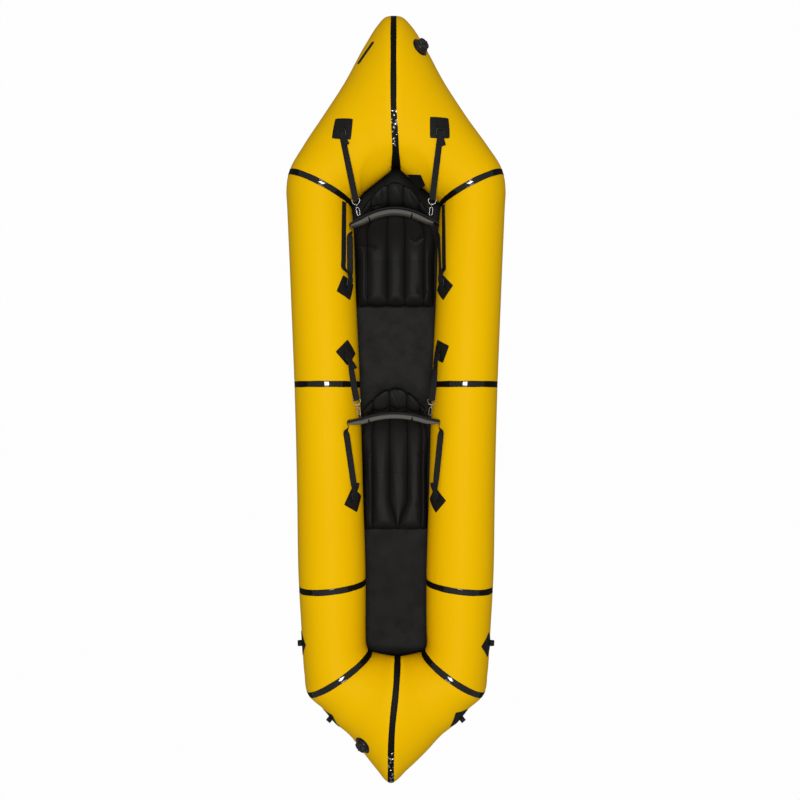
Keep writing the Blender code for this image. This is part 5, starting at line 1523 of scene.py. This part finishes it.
def fore_half(seat_name, side):
    """Makes a fore strap up to past its buckle, and gives its way on to behind the band's end."""
    seat = SEATS[seat_name]
    key = (seat_name, "fore", side)
    node, name = f"{seat_name}_fore_strap", f"{seat_name}_fore_webbing_{SIDE_NAMES[side]}"
    lock_frame, points, sides = threaded(key)
    free_end(key, f"{name}_end", node, lock_frame, points, sides)
    turn_out, turn_in, leave = band_end(seat, side)
    buckle_side = lock_frame.col[0].to_3d()
    last = UP if UP.dot(buckle_side) > 0 else -UP
    start = Vector(points[-1])
    span = [start.lerp(leave, k / STRAP_SPANS) for k in range(STRAP_SPANS + 1)]
    flat = UP.cross(leave - start).normalized()
    flat = flat if flat.dot(buckle_side) > 0 else -flat
    flat = flat.lerp(last, seat["strap_lean"][side]).normalized()
    ways = [buckle_side.lerp(flat, k / 3).normalized() for k in range(4)]
    ways += [flat] * (STRAP_SPANS - 4) + [flat.lerp(last, 0.5).normalized()]
    buckle = f"{seat_name}_fore_{SIDE_NAMES[side]}_buckle"
    strap_length(name, span[:3], ways[:3], node, buckle, "hull", span[0], span[2])
    return span[2:] + [turn_in, turn_out], ways[2:] + [last] * 2


for seat_name, seat in SEATS.items():
    port, port_sides = fore_half(seat_name, 1)
    other, other_sides = fore_half(seat_name, -1)
    behind = BAND_THICKNESS / 2 + BACKING_THICKNESS + SKIN_GAP * 2 + WEBBING_THICKNESS / 2
    sewn = [p - UP * SLING_DROP for p in band_line(seat, behind, *seat["ends"][::-1], 16)]
    up_way = port_sides[-1]
    flip = 1 if other_sides[-1].dot(up_way) > 0 else -1
    points = port + sewn + other[::-1]
    sides = port_sides + [up_way] * len(sewn) + [way * flip for way in other_sides[::-1]]
    low = Vector((0, max(port[0].y, other[0].y), 0))
    high = Vector((0, seat["band_y"] - SLING_BLEND_END, 0))
    name, node = f"{seat_name}_fore_webbing", f"{seat_name}_fore_strap"
    strap_length(name, points, sides, node, "hull", f"{seat_name}_back", low, high)


# Snap hooks and D-rings: bright steel wire. Each hook snaps into a small loop sewn behind the
# band, and the aft strap's D-ring hangs in its eye.
metal = Finish("fitting_metal", (0.44, 0.44, 0.45), 0.3, Metallic=1.0)
scratches = metal.noise(700.0, 4.0, 0.7)
metal.feed("Roughness", 0.26 + scratches * 0.16)
metal.tint(metal.noise(160.0, 3.0) * 0.3, (0.42, 0.41, 0.40))
metal.relief(scratches, 0.00002)

# The hook in shares of its length, its gate in metres, and the D-ring in shares of its depth
HOOK_BODY = (
    (-0.1662, 0.3385), (-0.1662, 0.1662), (-0.1169, 0.0492), (0.0000, 0.0000), (0.1169, 0.0492),
    (0.1662, 0.1662), (0.1662, 0.8338), (0.1169, 0.9508), (0.0000, 1.0000), (-0.1169, 0.9508),
    (-0.1662, 0.8431), (-0.1662, 0.8092),
)
GATE = ((-0.0054, 0.0115, 0), (-0.0054, 0.0185, 0), (-0.0054, 0.0256, 0))
GATE_WIRE = 0.0014
D_RING = (
    (-0.6950, 1.0000), (0.6950, 1.0000), (0.7650, 0.9350), (0.7400, 0.6000), (0.5750, 0.2750),
    (0.3250, 0.0650), (0.0000, 0.0000), (-0.3250, 0.0650), (-0.5750, 0.2750), (-0.7400, 0.6000),
    (-0.7650, 0.9350),
)
HOOK_LOOP = (0.010, 0.005)
HOOK_WEBBING = (0.0045, 0.0012)
WIRE_STEP = 0.0012


def wire(name, matrix, path, radius, body, closed=False, width=2):
    """A bent wire, given in a frame, on the body that has its node's name."""
    line = moved(matrix, path)
    piece = swept(name, line, matrix.col[width].to_3d(), round_section(radius), WIRE_STEP, closed)
    finish_piece(piece, body, metal, body, sharp=60)


circle = np.linspace(0, 2 * math.pi, 16, endpoint=False)
for (seat_name, side), (catch, loop_middle) in CATCHES.items():
    tag = SIDE_NAMES[side]
    hook, ring = hook_frame(seat_name, side), ring_frame(seat_name, side)
    body, gate, d_ring = (f"{seat_name}_{part}_{tag}" for part in ("hook", "gate", "d_ring"))
    line = [(x * HOOK_LENGTH, y * HOOK_LENGTH, 0) for x, y in HOOK_BODY]
    wire(f"{body}_wire", hook, line, WIRE, body)
    rise = HOOK_LENGTH + EYE_OFFSET + EYE_RADIUS * np.cos(circle)
    eye = np.column_stack((0 * circle, rise, EYE_RADIUS * np.sin(circle)))
    wire(f"{body}_eye", hook, eye, EYE_WIRE, body, closed=True, width=0)
    wire(f"{gate}_rod", hook, GATE, GATE_WIRE, gate)
    line = [(x * D_DEPTH, y * D_DEPTH, 0) for x, y in D_RING]
    wire(f"{d_ring}_wire", ring, line, WIRE, d_ring, closed=True)
    around = level(loop_middle, hook.col[1].to_3d(), UP)
    line = np.column_stack((0 * circle, HOOK_LOOP[0] * np.cos(circle), HOOK_LOOP[1] * np.sin(circle)))
    name, section = f"{seat_name}_hook_loop_{tag}", flat_section(*HOOK_WEBBING)
    loop = swept(name, moved(around, line), around.col[0].to_3d(), section, WIRE_STEP, True)
    finish_piece(loop, f"{seat_name}_back", webbing, f"{seat_name}_band_backing", sharp=60)


bpy.context.view_layer.update()
